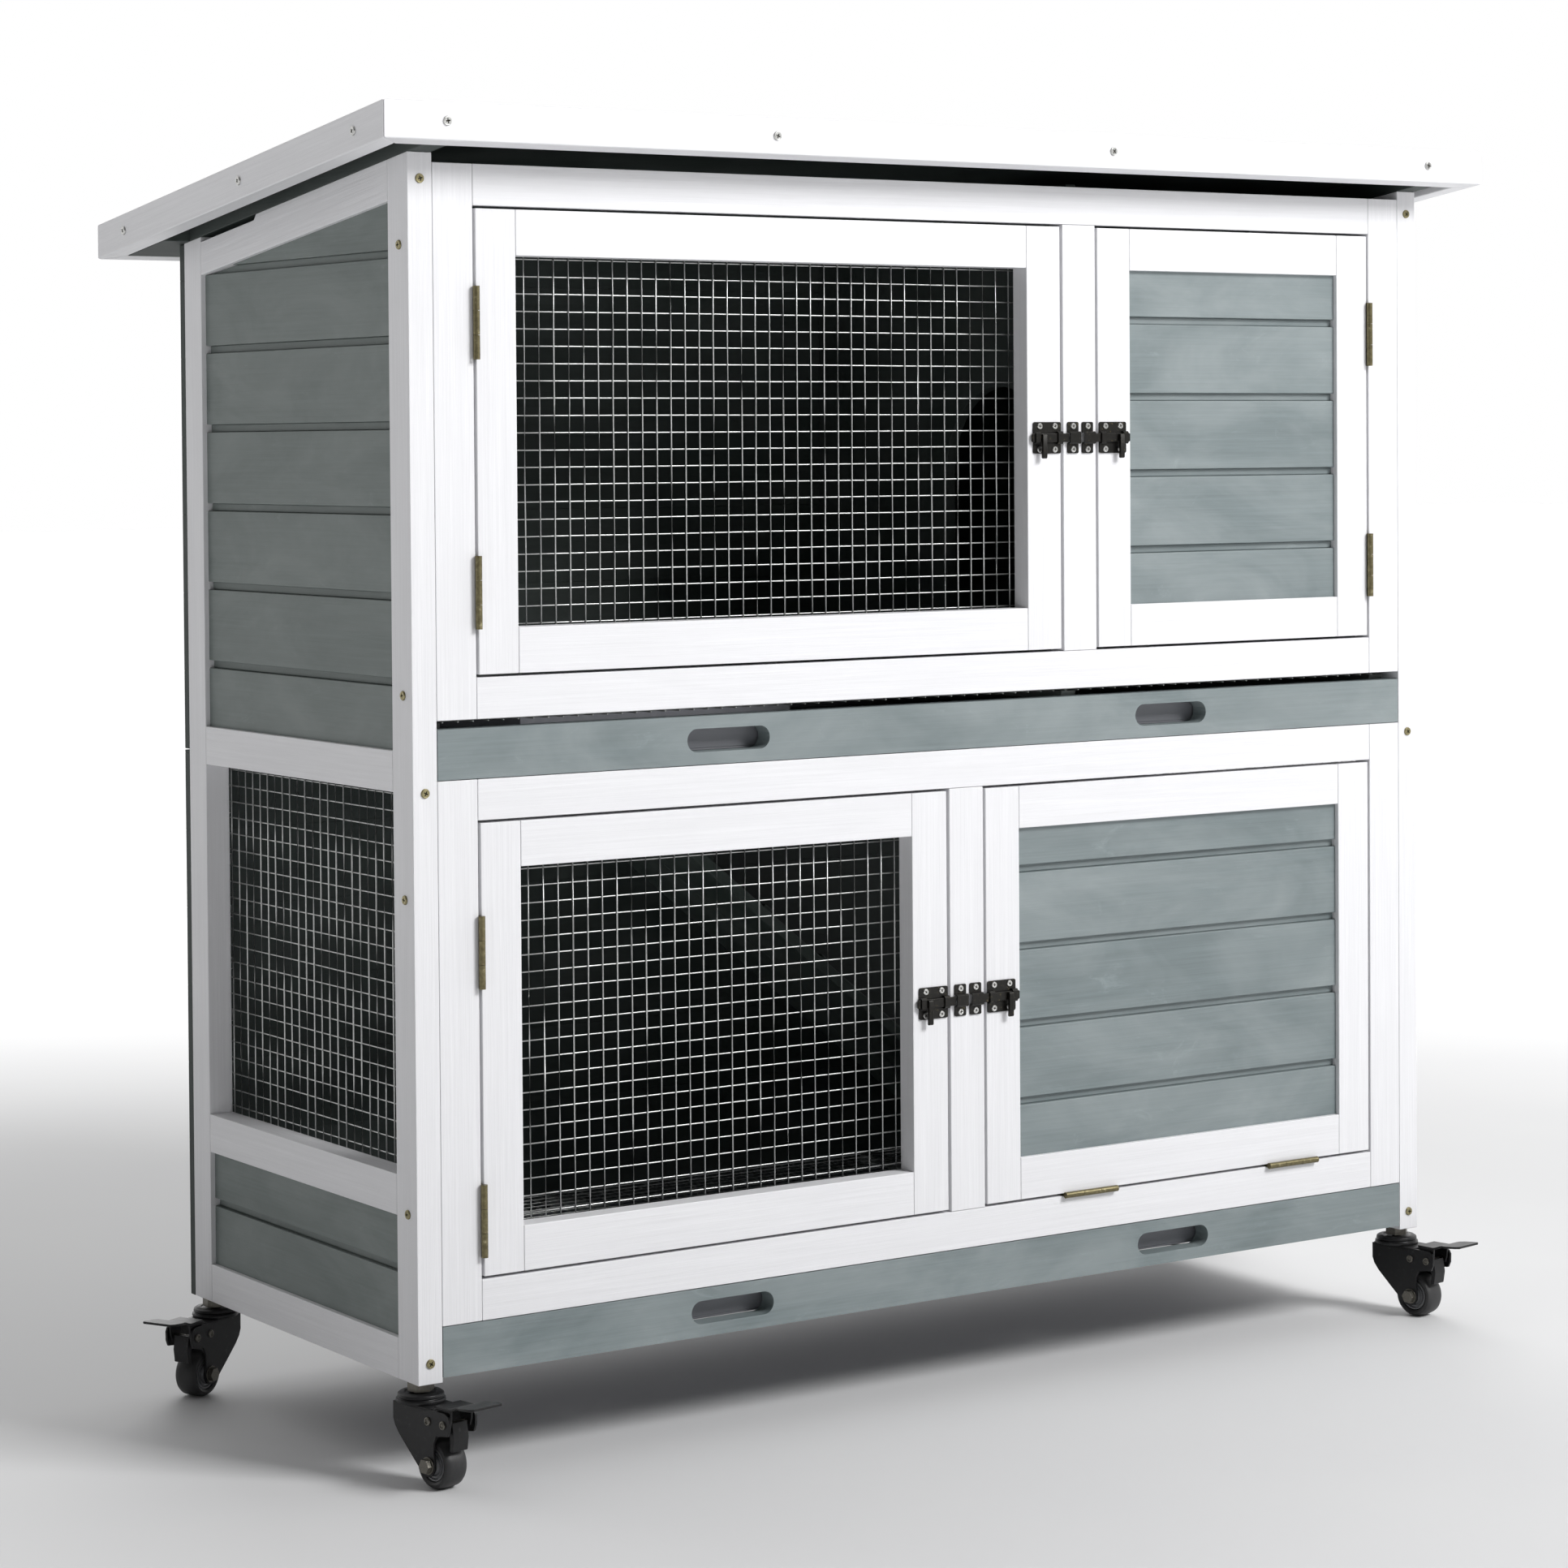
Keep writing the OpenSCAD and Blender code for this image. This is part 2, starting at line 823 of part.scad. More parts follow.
module keeper_pair(post_x, z) {
    translate([post_x + keeper_inset, 0, z])
        keeper();
    translate([post_x + front_stile_w - keeper_inset - keeper_w, 0, z])
        keeper();
}

module latch_keepers() {
    color(black)
        on_body() {
            keeper_pair(upper_post_x, upper_latch_z);
            keeper_pair(lower_post_x, lower_latch_z);
        }
}

// ---------- doors ----------

module door_frame(door) {
    color(white)
        on_body()
            timber_frame(door, door_timber_w, door_timber_w, 0, front_t);
}

module door_wire(door) {
    color(wire_grey)
        on_body()
            translate([0, front_t, 0])
                wire_grid(door[0] + door_timber_w, door[1] - door_timber_w,
                    door[2] + door_timber_w, door[3] - door_timber_w);
}

module door_boards(door) {
    x0 = door[0] + door_timber_w;
    x1 = door[1] - door_timber_w;
    z0 = door[2] + door_timber_w;
    z1 = door[3] - door_timber_w;
    count = floor((z1 - z0 - door_groove_z) / plank_pitch) + 1;
    color(grey_green)
        on_body()
            for (i = [0 : count]) {
                low = i == 0 ? z0 : z0 + door_groove_z + (i - 1) * plank_pitch + groove_h / 2;
                high = min(z0 + door_groove_z + i * plank_pitch - groove_h / 2, z1);
                block(x0, x1, plank_recess, plank_recess + plank_t, low, high);
                if (i < count)
                    block(x0, x1, plank_recess + groove_depth, plank_recess + plank_t,
                        high, high + groove_h);
            }
}

module upper_left_door_frame() {
    door_frame(upper_left_door);
}

module upper_left_door_mesh() {
    door_wire(upper_left_door);
}

module upper_left_door_hinges() {
    color(bronze)
        on_body()
            left_hinges(upper_left_door, upper_hinge_z)
                moving_leaf();
}

module upper_left_latch_plate() {
    color(black)
        on_body()
            left_latch(upper_left_door, upper_latch_z)
                latch_plate();
}

module upper_left_bolt() {
    color(black)
        on_body()
            left_latch(upper_left_door, upper_latch_z)
                latch_bolt();
}

module upper_right_door_frame() {
    door_frame(upper_right_door);
}

module upper_right_door_planks() {
    door_boards(upper_right_door);
}

module upper_right_door_hinges() {
    color(bronze)
        on_body()
            right_hinges(upper_right_door, upper_hinge_z)
                moving_leaf();
}

module upper_right_latch_plate() {
    color(black)
        on_body()
            right_latch(upper_right_door, upper_latch_z)
                latch_plate();
}

module upper_right_bolt() {
    color(black)
        on_body()
            right_latch(upper_right_door, upper_latch_z)
                latch_bolt();
}

module lower_left_door_frame() {
    door_frame(lower_left_door);
}

module lower_left_door_mesh() {
    door_wire(lower_left_door);
}

module lower_left_door_hinges() {
    color(bronze)
        on_body()
            left_hinges(lower_left_door, lower_hinge_z)
                moving_leaf();
}

module lower_left_latch_plate() {
    color(black)
        on_body()
            left_latch(lower_left_door, lower_latch_z)
                latch_plate();
}

module lower_left_bolt() {
    color(black)
        on_body()
            left_latch(lower_left_door, lower_latch_z)
                latch_bolt();
}

module ramp_door_frame() {
    door_frame(ramp_door);
}

module ramp_door_planks() {
    door_boards(ramp_door);
}

module ramp_door_hinges() {
    color(bronze)
        on_body()
            ramp_hinges()
                moving_leaf();
}

module ramp_door_latch_plate() {
    color(black)
        on_body()
            right_latch(ramp_door, lower_latch_z)
                latch_plate();
}

module ramp_door_bolt() {
    color(black)
        on_body()
            right_latch(ramp_door, lower_latch_z)
                latch_bolt();
}

// ---------- trays ----------

module tray_front(z) {
    x0 = side_t + tray_clear;
    x1 = body_w - side_t - tray_clear;
    mid = z + tray_front_h / 2;
    color(grey_green)
        on_body()
            difference() {
                block(x0, x1, 0, front_t - 2, z, z + tray_front_h);
                for (s = [-1, 1])
                    for (end = [-1, 1])
                        translate([body_w / 2 + s * slot_offset + end * (slot_l - slot_h) / 2,
                            -1, mid])
                            rotate([-90, 0, 0])
                                cylinder(d = slot_h, h = front_t);
                for (s = [-1, 1])
                    block(body_w / 2 + s * slot_offset - (slot_l - slot_h) / 2,
                        body_w / 2 + s * slot_offset + (slot_l - slot_h) / 2,
                        -1, front_t, mid - slot_h / 2, mid + slot_h / 2);
            }
}

// shallow pan; the upper one is notched at the back to pass the ramp
module tray_pan(z, notched) {
    x0 = side_t + pan_clear;
    x1 = body_w - side_t - pan_clear;
    y0 = front_t - 2;
    y1 = y0 + pan_d;
    z0 = z + pan_lift;
    color(tray_grey)
        on_body()
            difference() {
                block(x0, x1, y0, y1, z0, z0 + pan_h);
                if (notched) {
                    pan_hollow(x0, x1, y0, hole_y0 - notch_clear, z0);
                    pan_hollow(x0, hole_x - notch_clear, y0, y1, z0);
                    pan_hollow(hole_x + hole_l + notch_clear, x1, y0, y1, z0);
                    block(hole_x - notch_clear, hole_x + hole_l + notch_clear,
                        hole_y0 - notch_clear, y1 + 1, z0 - 1, z0 + pan_h + 1);
                } else
                    pan_hollow(x0, x1, y0, y1, z0);
            }
}

module pan_hollow(x0, x1, y0, y1, z0) {
    block(x0 + pan_t, x1 - pan_t, y0 + pan_t, y1 - pan_t, z0 + pan_t, z0 + pan_h + 1);
}

module upper_tray_front() {
    tray_front(upper_tray_z);
}

module upper_tray_pan() {
    tray_pan(upper_tray_z, true);
}

module lower_tray_front() {
    tray_front(lower_tray_z);
}

module lower_tray_pan() {
    tray_pan(lower_tray_z, false);
}

// ---------- roof ----------

// slab that follows the roof's slope, between two heights over its underside
module sloped_slab(x0, x1, y0, y1, z0, z1) {
    from_side(x0, x1 - x0)
        polygon([
            [y0, roof_z(y0) + z0], [y1, roof_z(y1) + z0],
            [y1, roof_z(y1) + z1], [y0, roof_z(y0) + z1]
        ]);
}

// one mitred board of the fascia, cut out of the slope by its plan
module fascia_board(plan) {
    intersection() {
        sloped_slab(roof_x0, roof_x1, roof_y0, roof_y1, 0, fascia_h);
        linear_extrude(2 * post_h)
            polygon(plan);
    }
}

module roof_fascia() {
    t = fascia_t;
    outer = [[roof_x0, roof_y0], [roof_x1, roof_y0], [roof_x1, roof_y1], [roof_x0, roof_y1]];
    inner = [
        [roof_x0 + t, roof_y0 + t], [roof_x1 - t, roof_y0 + t],
        [roof_x1 - t, roof_y1 - t], [roof_x0 + t, roof_y1 - t]
    ];
    color(white)
        on_body()
            for (i = [0 : 3]) {
                next = (i + 1) % 4;
                fascia_board([outer[i], outer[next], inner[next], inner[i]]);
            }
}

// boards under the felt, on battens that bear on the side frames and the back
module roof_deck() {
    y0 = roof_y0 + fascia_t;
    y1 = roof_y1 - fascia_t;
    x0 = roof_x0 + fascia_t;
    x1 = roof_x1 - fascia_t;
    pitch = (y1 - y0) / deck_boards;
    rear_y = body_d - 10;
    color(dark_green)
        on_body() {
            for (i = [0 : deck_boards - 1]) {
                trim = i < deck_boards - 1 ? deck_groove : 0;
                sloped_slab(x0, x1, y0 + i * pitch, y0 + (i + 1) * pitch - trim,
                    batten_h, batten_h + deck_t);
            }
            for (x = [0, body_w - batten_w])
                sloped_slab(x, x + batten_w, y0, rear_y, joint_line, batten_h);
            sloped_slab(x0, x1, rear_y, y1, joint_line, batten_h);
        }
}

module roof_felt() {
    color(dark_green)
        on_body()
            sloped_slab(roof_x0 + fascia_t, roof_x1 - fascia_t, roof_y0 + fascia_t,
                roof_y1 - fascia_t, fascia_h - felt_t + joint_line, fascia_h);
}

module roof_screws() {
    color(steel)
        on_body() {
            for (x = fascia_screw_x) {
                translate([x, roof_y0, roof_z(roof_y0) + fascia_h / 2])
                    rotate([90, 0, 0])
                        screw_head();
                translate([x, roof_y1, roof_z(roof_y1) + fascia_h / 2])
                    rotate([-90, 0, 0])
                        screw_head();
            }
            for (y = fascia_screw_y) {
                translate([roof_x0, y, roof_z(y) + fascia_h / 2])
                    rotate([0, -90, 0])
                        screw_head();
                translate([roof_x1, y, roof_z(y) + fascia_h / 2])
                    rotate([0, 90, 0])
                        screw_head();
            }
        }
}

// each leaf lies under the roof's rear batten, behind the axis
module roof_hinge_leaves() {
    step = (roof_hinge_l - 2 * knuckle_clear) / 3;
    color(bronze)
        on_body()
            for (x = roof_hinge_x)
                translate([x, roof_axis_y, roof_axis_z]) {
                    rotate([0, 90, 0])
                        cylinder(r = pin_r, h = roof_hinge_l);
                    translate([step + knuckle_clear, 0, 0])
                        rotate([0, 90, 0])
                            cylinder(r = knuckle_r, h = step);
                    rotate([-roof_slope, 0, 0]) {
                        translate([step + 2 * knuckle_clear, pin_r + 0.2, -leaf_t / 2])
                            cube([step - 2 * knuckle_clear, knuckle_r, roof_leaf_z + leaf_t / 2]);
                        translate([0, knuckle_r + 0.6, roof_leaf_z - leaf_t])
                            cube([roof_hinge_l, leaf_l, leaf_t]);
                    }
                }
}

// ---------- casters ----------

module caster_at(i) {
    place = caster_places[i];
    translate([place[0] - body_w / 2, place[1] + front_y, 0])
        rotate([0, 0, place[2]])
            children();
}

module caster_stems() {
    color(steel)
        for (i = [0 : 3])
            caster_at(i) {
                translate([0, 0, fork_top + 1])
                    cylinder(r = stem_r, h = caster_h + stem_up - fork_top - 1);
                translate([0, 0, caster_h - nut_h])
                    cylinder(r = nut_r, h = nut_h, $fn = 6);
            }
}

// side plate of the fork, in local X and Z
module fork_outline() {
    top = fork_top;
    polygon([
        [-fork_rear, top], [-fork_rear, top - 13], [5 - fork_rear, top - 22], [2, top - 34],
        [trail - 9, wheel_r - 4], [trail - 5, wheel_r - 8], [trail + 3, wheel_r - 8],
        [trail + 7, wheel_r - 3], [trail + 6, wheel_r + 10], [brake_x - 9, brake_z - 9],
        [brake_x + 6, brake_z - 8], [brake_x + 7, top - 3], [brake_x + 3, top]
    ]);
}

module fork() {
    half = fork_w / 2;
    color(black) {
        difference() {
            union() {
                translate([0, 0, fork_top])
                    cylinder(r = cap_r, h = cap_h);
                translate([-fork_rear, -half, fork_top - fork_plate])
                    cube([fork_rear + fork_plate_x, fork_w, fork_plate]);
                for (y = [half, -half + fork_plate])
                    translate([0, y, 0])
                        rotate([90, 0, 0])
                            linear_extrude(fork_plate)
                                fork_outline();
            }
            translate([0, 0, fork_top - 5])
                cylinder(r = stem_r + running_fit, h = cap_h + 10);
            translate([brake_x, half + 1, brake_z])
                rotate([90, 0, 0])
                    cylinder(r = brake_pin_r + running_fit, h = fork_w + 2);
        }
        translate([trail, half + 3, wheel_r])
            rotate([90, 0, 0])
                cylinder(r = axle_r, h = fork_w + 6);
        translate([trail, -half, wheel_r])
            rotate([90, 0, 0])
                cylinder(r = 5.5, h = 4, $fn = 6);
        translate([trail, half + 4, wheel_r])
            rotate([90, 0, 0])
                cylinder(r = 5.5, h = 4, $fn = 6);
    }
}

module wheel() {
    half = wheel_w / 2;
    edge = 2.5;
    dish = 2;
    color(black)
        translate([trail, 0, wheel_r])
            rotate([90, 0, 0])
                rotate_extrude($fn = 72)
                    polygon([
                        [axle_r + running_fit, -half], [7, -half], [9, dish - half],
                        [wheel_r - 5, dish - half], [wheel_r - edge, -half],
                        [wheel_r, edge - half], [wheel_r, half - edge], [wheel_r - edge, half],
                        [wheel_r - 5, half - dish], [9, half - dish], [7, half],
                        [axle_r + running_fit, half]
                    ]);
}

module pedal() {
    lug_t = 2;
    lug_y = wheel_w / 2 + fork_gap - 0.5;
    shoe_w = wheel_w - 6;
    z = fork_top + 1.5;
    tip_x = pedal_reach - 20;
    color(black) {
        across(fork_w - 2)
            polygon([
                [31, z], [48, z], [tip_x, z + 3], [tip_x, z + 5], [47, z + 2], [31, z + 2]
            ]);
        across(pedal_w)
            polygon([
                [tip_x - 1, z + 3], [pedal_reach, z + 5], [pedal_reach, z + 7], [tip_x - 1, z + 5]
            ]);
        for (y = [lug_t - lug_y, lug_y])
            translate([0, y, 0])
                rotate([90, 0, 0])
                    linear_extrude(lug_t)
                        polygon([
                            [32, z + 1], [brake_x - 4, brake_z - 3], [brake_x + 4, brake_z - 3],
                            [brake_x + 6, z + 1]
                        ]);
        across(shoe_w)
            polygon([
                [brake_x - 2, brake_z + 1], [brake_x + 3, brake_z + 1], [brake_x + 5, brake_z - 10],
                [brake_x + 3.5, brake_z - 20], [brake_x, brake_z - 20.5], [brake_x + 0.5, brake_z - 12]
            ]);
        translate([brake_x, fork_w / 2 + 1, brake_z])
            rotate([90, 0, 0])
                cylinder(r = brake_pin_r, h = fork_w + 2);
    }
}

// outline in X and Z, extruded to a width centred on the caster's middle plane
module across(w) {
    translate([0, w / 2, 0])
        rotate([90, 0, 0])
            linear_extrude(w)
                children();
}

module front_left_fork() {
    caster_at(0)
        fork();
}

module front_left_wheel() {
    caster_at(0)
        wheel();
}

module front_left_pedal() {
    caster_at(0)
        pedal();
}

module front_right_fork() {
    caster_at(1)
        fork();
}

module front_right_wheel() {
    caster_at(1)
        wheel();
}

module front_right_pedal() {
    caster_at(1)
        pedal();
}

module rear_left_fork() {
    caster_at(2)
        fork();
}

module rear_left_wheel() {
    caster_at(2)
        wheel();
}

module rear_left_pedal() {
    caster_at(2)
        pedal();
}

module rear_right_fork() {
    caster_at(3)
        fork();
}

module rear_right_wheel() {
    caster_at(3)
        wheel();
}

module rear_right_pedal() {
    caster_at(3)
        pedal();
}

left_side_frame();
right_side_frame();
left_side_planks();
right_side_planks();
left_side_mesh();
right_side_mesh();
upper_front_frame();
lower_front_frame();
back_upper_panel();
back_lower_panel();
floor_runners();
upper_floor_mesh();
lower_floor_mesh();
room_divider();
inner_ramp();
frame_screws();
fixed_hinge_leaves();
latch_keepers();
caster_stems();
upper_left_door_frame();
upper_left_door_mesh();
upper_left_door_hinges();
upper_left_latch_plate();
upper_left_bolt();
upper_right_door_frame();
upper_right_door_planks();
upper_right_door_hinges();
upper_right_latch_plate();
upper_right_bolt();
lower_left_door_frame();
lower_left_door_mesh();
lower_left_door_hinges();
lower_left_latch_plate();
lower_left_bolt();
ramp_door_frame();
ramp_door_planks();
ramp_door_hinges();
ramp_door_latch_plate();
ramp_door_bolt();
upper_tray_front();
upper_tray_pan();
lower_tray_front();
lower_tray_pan();
roof_fascia();
roof_deck();
roof_felt();
roof_screws();
roof_hinge_leaves();
front_left_fork();
front_left_wheel();
front_left_pedal();
front_right_fork();
front_right_wheel();
front_right_pedal();
rear_left_fork();
rear_left_wheel();
rear_left_pedal();
rear_right_fork();
rear_right_wheel();
rear_right_pedal();
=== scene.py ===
"""Looks for a two-storey rabbit hutch. Metres, in the CAD frame: X right, Y back, Z up."""

import json
import math
import random

import bpy
import bmesh
from mathutils import Matrix, Vector
from mathutils.geometry import tessellate_polygon


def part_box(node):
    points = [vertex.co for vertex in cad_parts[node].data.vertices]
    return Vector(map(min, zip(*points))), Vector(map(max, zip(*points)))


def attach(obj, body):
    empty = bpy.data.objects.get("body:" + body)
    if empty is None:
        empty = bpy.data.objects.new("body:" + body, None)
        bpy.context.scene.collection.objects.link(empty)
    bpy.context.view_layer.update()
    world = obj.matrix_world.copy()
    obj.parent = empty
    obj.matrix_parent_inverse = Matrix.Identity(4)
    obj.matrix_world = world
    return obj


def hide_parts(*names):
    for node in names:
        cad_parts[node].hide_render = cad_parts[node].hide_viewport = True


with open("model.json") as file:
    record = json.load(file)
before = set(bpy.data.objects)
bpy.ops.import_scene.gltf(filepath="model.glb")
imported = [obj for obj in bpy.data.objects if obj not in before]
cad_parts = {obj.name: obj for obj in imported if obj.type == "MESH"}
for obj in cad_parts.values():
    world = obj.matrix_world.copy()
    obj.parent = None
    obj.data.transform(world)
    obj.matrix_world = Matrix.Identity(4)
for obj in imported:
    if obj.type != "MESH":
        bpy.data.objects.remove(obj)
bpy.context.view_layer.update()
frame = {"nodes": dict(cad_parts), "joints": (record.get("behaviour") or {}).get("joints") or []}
rng = random.Random(7)

MM = 0.001
AXES = (Vector((1, 0, 0)), Vector((0, 1, 0)), Vector((0, 0, 1)))
X, Y, Z = AXES


def box_of(name):
    low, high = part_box(name)
    return Vector(low), Vector(high)


# ---------- sizes that the frame doesn't give by itself ----------

SIDE_TIMBER = 30 * MM
FRONT_RAIL = 30 * MM
FRONT_STILE = 33 * MM
DOOR_TIMBER = 33.5 * MM
GROOVE = 6 * MM
GROOVE_DEPTH = 4 * MM
PLANK_PITCH = 61.8 * MM
DOOR_GROOVE = 44 * MM
SIDE_GROOVE = 49 * MM
WIRE_PITCH = 12.7 * MM
WIRE_R = 0.55 * MM
WIRE_LAP = 6 * MM
JOINT = 0.25 * MM
TIMBER_EDGE = 0.6 * MM
TUCK = 2 * MM
SLIVER = 3 * MM
BOARD_EDGE = 0.9 * MM
POST_GAP = 2.5 * MM
ROOF_SLOPE = math.tan(math.radians(7.5))

left_low, left_high = box_of("left_side_frame")
right_high = box_of("right_side_frame")[1]
FOOT = left_low.z
POST_TOP = left_high.z
FACE = left_low.y
REAR = left_high.y


def roof_z(y):
    return POST_TOP - ROOF_SLOPE * (y - FACE)


# ---------- node helpers ----------

def feed(tree, socket, value):
    """Links a socket, or sets a constant on it."""
    if isinstance(value, bpy.types.NodeSocket):
        tree.links.new(value, socket)
    else:
        socket.default_value = value


def new_node(tree, kind, props=None, **sockets):
    """Sockets are named i0, i1 ... by number, or by name with _ for a space."""
    n = tree.nodes.new(kind)
    for key, value in (props or {}).items():
        setattr(n, key, value)
    for key, value in sockets.items():
        by_number = key[0] == "i" and key[1:].isdigit()
        feed(tree, n.inputs[int(key[1:]) if by_number else key.replace("_", " ")], value)
    return n


def math_node(tree, op, *values):
    sockets = {"i%d" % i: v for i, v in enumerate(values)}
    return new_node(tree, "ShaderNodeMath", {"operation": op}, **sockets).outputs[0]


def ramp(tree, value, stops):
    n = new_node(tree, "ShaderNodeValToRGB", Fac=value)
    while len(n.color_ramp.elements) < len(stops):
        n.color_ramp.elements.new(0.5)
    for e, (place, tone) in zip(n.color_ramp.elements, stops):
        e.position = place
        e.color = tone if len(tone) == 4 else (*tone, 1)
    return n.outputs[0]


def grey(v):
    return (v, v, v, 1)


def times(colour, factor):
    return (*[c * factor for c in colour], 1)


def mix(tree, factor, a, b):
    """Colours blended; numbers 6, 7 and 2 are the mix node's colour sockets."""
    return new_node(tree, "ShaderNodeMix", {"data_type": "RGBA"}, i0=factor, i6=a, i7=b).outputs[2]


def noise(tree, vector, scale=1.0, detail=3.0, rough=0.5, distortion=0.0):
    return new_node(tree, "ShaderNodeTexNoise", Vector=vector, Scale=scale, Detail=detail,
                    Roughness=rough, Distortion=distortion).outputs[0]


def start_material(name):
    m = bpy.data.materials.new(name)
    m.use_nodes = True
    return m, m.node_tree, m.node_tree.nodes["Principled BSDF"]


def surface(tree, bsdf, tone, gloss, height, strength, distance):
    """Colour, roughness and relief into the shader."""
    relief = new_node(tree, "ShaderNodeBump", Height=height, Strength=strength, Distance=distance)
    feed(tree, bsdf.inputs["Base Color"], tone)
    feed(tree, bsdf.inputs["Roughness"], gloss)
    feed(tree, bsdf.inputs["Normal"], relief.outputs[0])


def grain_vectors(tree, coords, *scales):
    """Vectors stretched along the grain: each scale is (along, across) in 1/m."""
    if coords == "uv":
        source = new_node(tree, "ShaderNodeUVMap", {"uv_map": "grain"}).outputs[0]
        order = 0
    else:
        source = new_node(tree, "ShaderNodeTexCoord").outputs["Object"]
        order = "xyz".index(coords)
    made = []
    for along, across in scales:
        scale = [across, across, across]
        scale[order] = along
        made.append(new_node(tree, "ShaderNodeMapping", Vector=source, Scale=scale).outputs[0])
    return made


def painted_wood(name, colour, coords="uv", contrast=0.12, mottle=0.1, scuff=0.0, rough=0.5,
                 bump=0.35, rings=26.0, knot=0.0):
    """Painted or stained softwood: fibres, growth rings, mottled paint and pale scuffs."""
    m, tree, bsdf = start_material(name)
    fibre_at, ring_at, patch_at, knot_at = grain_vectors(
        tree, coords, (9, 420), (1.6, 26), (7, 16), (4, 13))
    fibre = noise(tree, fibre_at, 1, 5, 0.65, 0.15)
    ring_noise = noise(tree, ring_at, 1, 3, 0.45, 0.35)
    ring = math_node(tree, "SINE", math_node(tree, "MULTIPLY", ring_noise, rings))
    ring = math_node(tree, "MULTIPLY_ADD", ring, 0.5, 0.5)
    patch = noise(tree, patch_at, 1, 4, 0.6, 0.6)
    base = (*colour, 1)
    deep = times(colour, 1 - contrast)
    light = (*[min(1, c + (1 - c) * contrast * 0.6) for c in colour], 1)
    tone = mix(tree, ramp(tree, fibre, [(0.32, grey(0)), (0.7, grey(1))]), deep, base)
    ring_mask = ramp(tree, ring, [(0.0, grey(0.45)), (0.5, grey(0)), (1.0, grey(0))])
    tone = mix(tree, ring_mask, tone, deep)
    patch_mask = ramp(tree, patch, [(0.35, grey(0)), (0.75, grey(mottle * 4))])
    tone = mix(tree, patch_mask, tone, light)
    if scuff:
        worn = noise(tree, patch_at, 2.3, 6, 0.75, 1.4)
        worn = ramp(tree, worn, [(0.6, grey(0)), (0.72, grey(scuff))])
        tone = mix(tree, worn, tone, (*[min(1, c * 1.45 + 0.05) for c in colour], 1))
    height = math_node(tree, "MULTIPLY_ADD", fibre, 0.7, math_node(tree, "MULTIPLY", ring, 0.35))
    if knot:
        cell = new_node(tree, "ShaderNodeTexVoronoi", Vector=knot_at, Scale=1.0)
        near = ramp(tree, cell.outputs["Distance"], [(0.03, grey(knot)), (0.12, grey(0))])
        rare = ramp(tree, cell.outputs["Color"], [(0.62, grey(0)), (0.66, grey(1))])
        spot = math_node(tree, "MULTIPLY", near, rare)
        tone = mix(tree, spot, tone, times(colour, 0.45))
        height = math_node(tree, "SUBTRACT", height, spot)
    gloss = ramp(tree, patch, [(0.3, grey(rough - 0.07)), (0.7, grey(rough + 0.09))])
    surface(tree, bsdf, tone, gloss, height, bump, 0.6 * MM)
    return m


def metal(name, colour, rough=0.35, metallic=1.0, vary=0.25, scale=220.0, wear=None, bump=0.08):
    """Plated or painted metal: blotchy tone, uneven gloss, fine scratches, worn spots."""
    m, tree, bsdf = start_material(name)
    at = new_node(tree, "ShaderNodeTexCoord").outputs["Object"]
    blotch = noise(tree, at, scale, 4, 0.6, 0.3)
    fine = noise(tree, at, scale * 9, 3, 0.6)
    stretch = new_node(tree, "ShaderNodeMapping", Vector=at, Scale=(60, 900, 2400)).outputs[0]
    scratch = noise(tree, stretch, 1, 2, 0.5)
    tone = mix(tree, ramp(tree, blotch, [(0.3, grey(0)), (0.7, grey(1))]),
               times(colour, 1 - vary), (*colour, 1))
    if wear:
        spots = ramp(tree, blotch, [(0.62, grey(0)), (0.7, grey(0.8))])
        tone = mix(tree, spots, tone, (*wear, 1))
    bsdf.inputs["Metallic"].default_value = metallic
    gloss = math_node(tree, "MULTIPLY_ADD", scratch, 0.25, rough - 0.12)
    surface(tree, bsdf, tone, gloss, math_node(tree, "ADD", fine, scratch), bump, 0.2 * MM)
    return m


def felt_material():
    """Green mineral roof felt: stone grit in bitumen."""
    m, tree, bsdf = start_material("roof_felt")
    at = new_node(tree, "ShaderNodeTexCoord").outputs["Object"]
    grit = new_node(tree, "ShaderNodeTexVoronoi", Vector=at, Scale=900.0)
    stone = ramp(tree, grit.outputs["Color"], [(0.0, (0.020, 0.032, 0.026)),
                                              (0.55, (0.050, 0.085, 0.066)),
                                              (0.92, (0.085, 0.125, 0.100)),
                                              (1.0, (0.20, 0.24, 0.21))])
    worn = noise(tree, at, 7, 5, 0.65, 0.4)
    tone = mix(tree, ramp(tree, worn, [(0.45, grey(0)), (0.8, grey(0.45))]), stone,
               (0.022, 0.026, 0.025, 1))
    swell = math_node(tree, "MULTIPLY_ADD", worn, 1.2, grit.outputs["Distance"])
    surface(tree, bsdf, tone, 0.88, swell, 0.8, 0.9 * MM)
    return m


def plastic(name, colour, rough=0.55, grainy=700.0, dust=0.1):
    """Moulded plastic or rubber: fine texture, dusty in places."""
    m, tree, bsdf = start_material(name)
    at = new_node(tree, "ShaderNodeTexCoord").outputs["Object"]
    skin = noise(tree, at, grainy, 3, 0.6)
    haze = noise(tree, at, 35, 5, 0.6, 0.5)
    tone = mix(tree, ramp(tree, haze, [(0.4, grey(0)), (0.75, grey(dust * 3))]), (*colour, 1),
               (*[c * 0.8 + 0.08 for c in colour], 1))
    gloss = ramp(tree, haze, [(0.3, grey(rough - 0.08)), (0.8, grey(rough + 0.12))])
    surface(tree, bsdf, tone, gloss, skin, 0.2, 0.2 * MM)
    return m


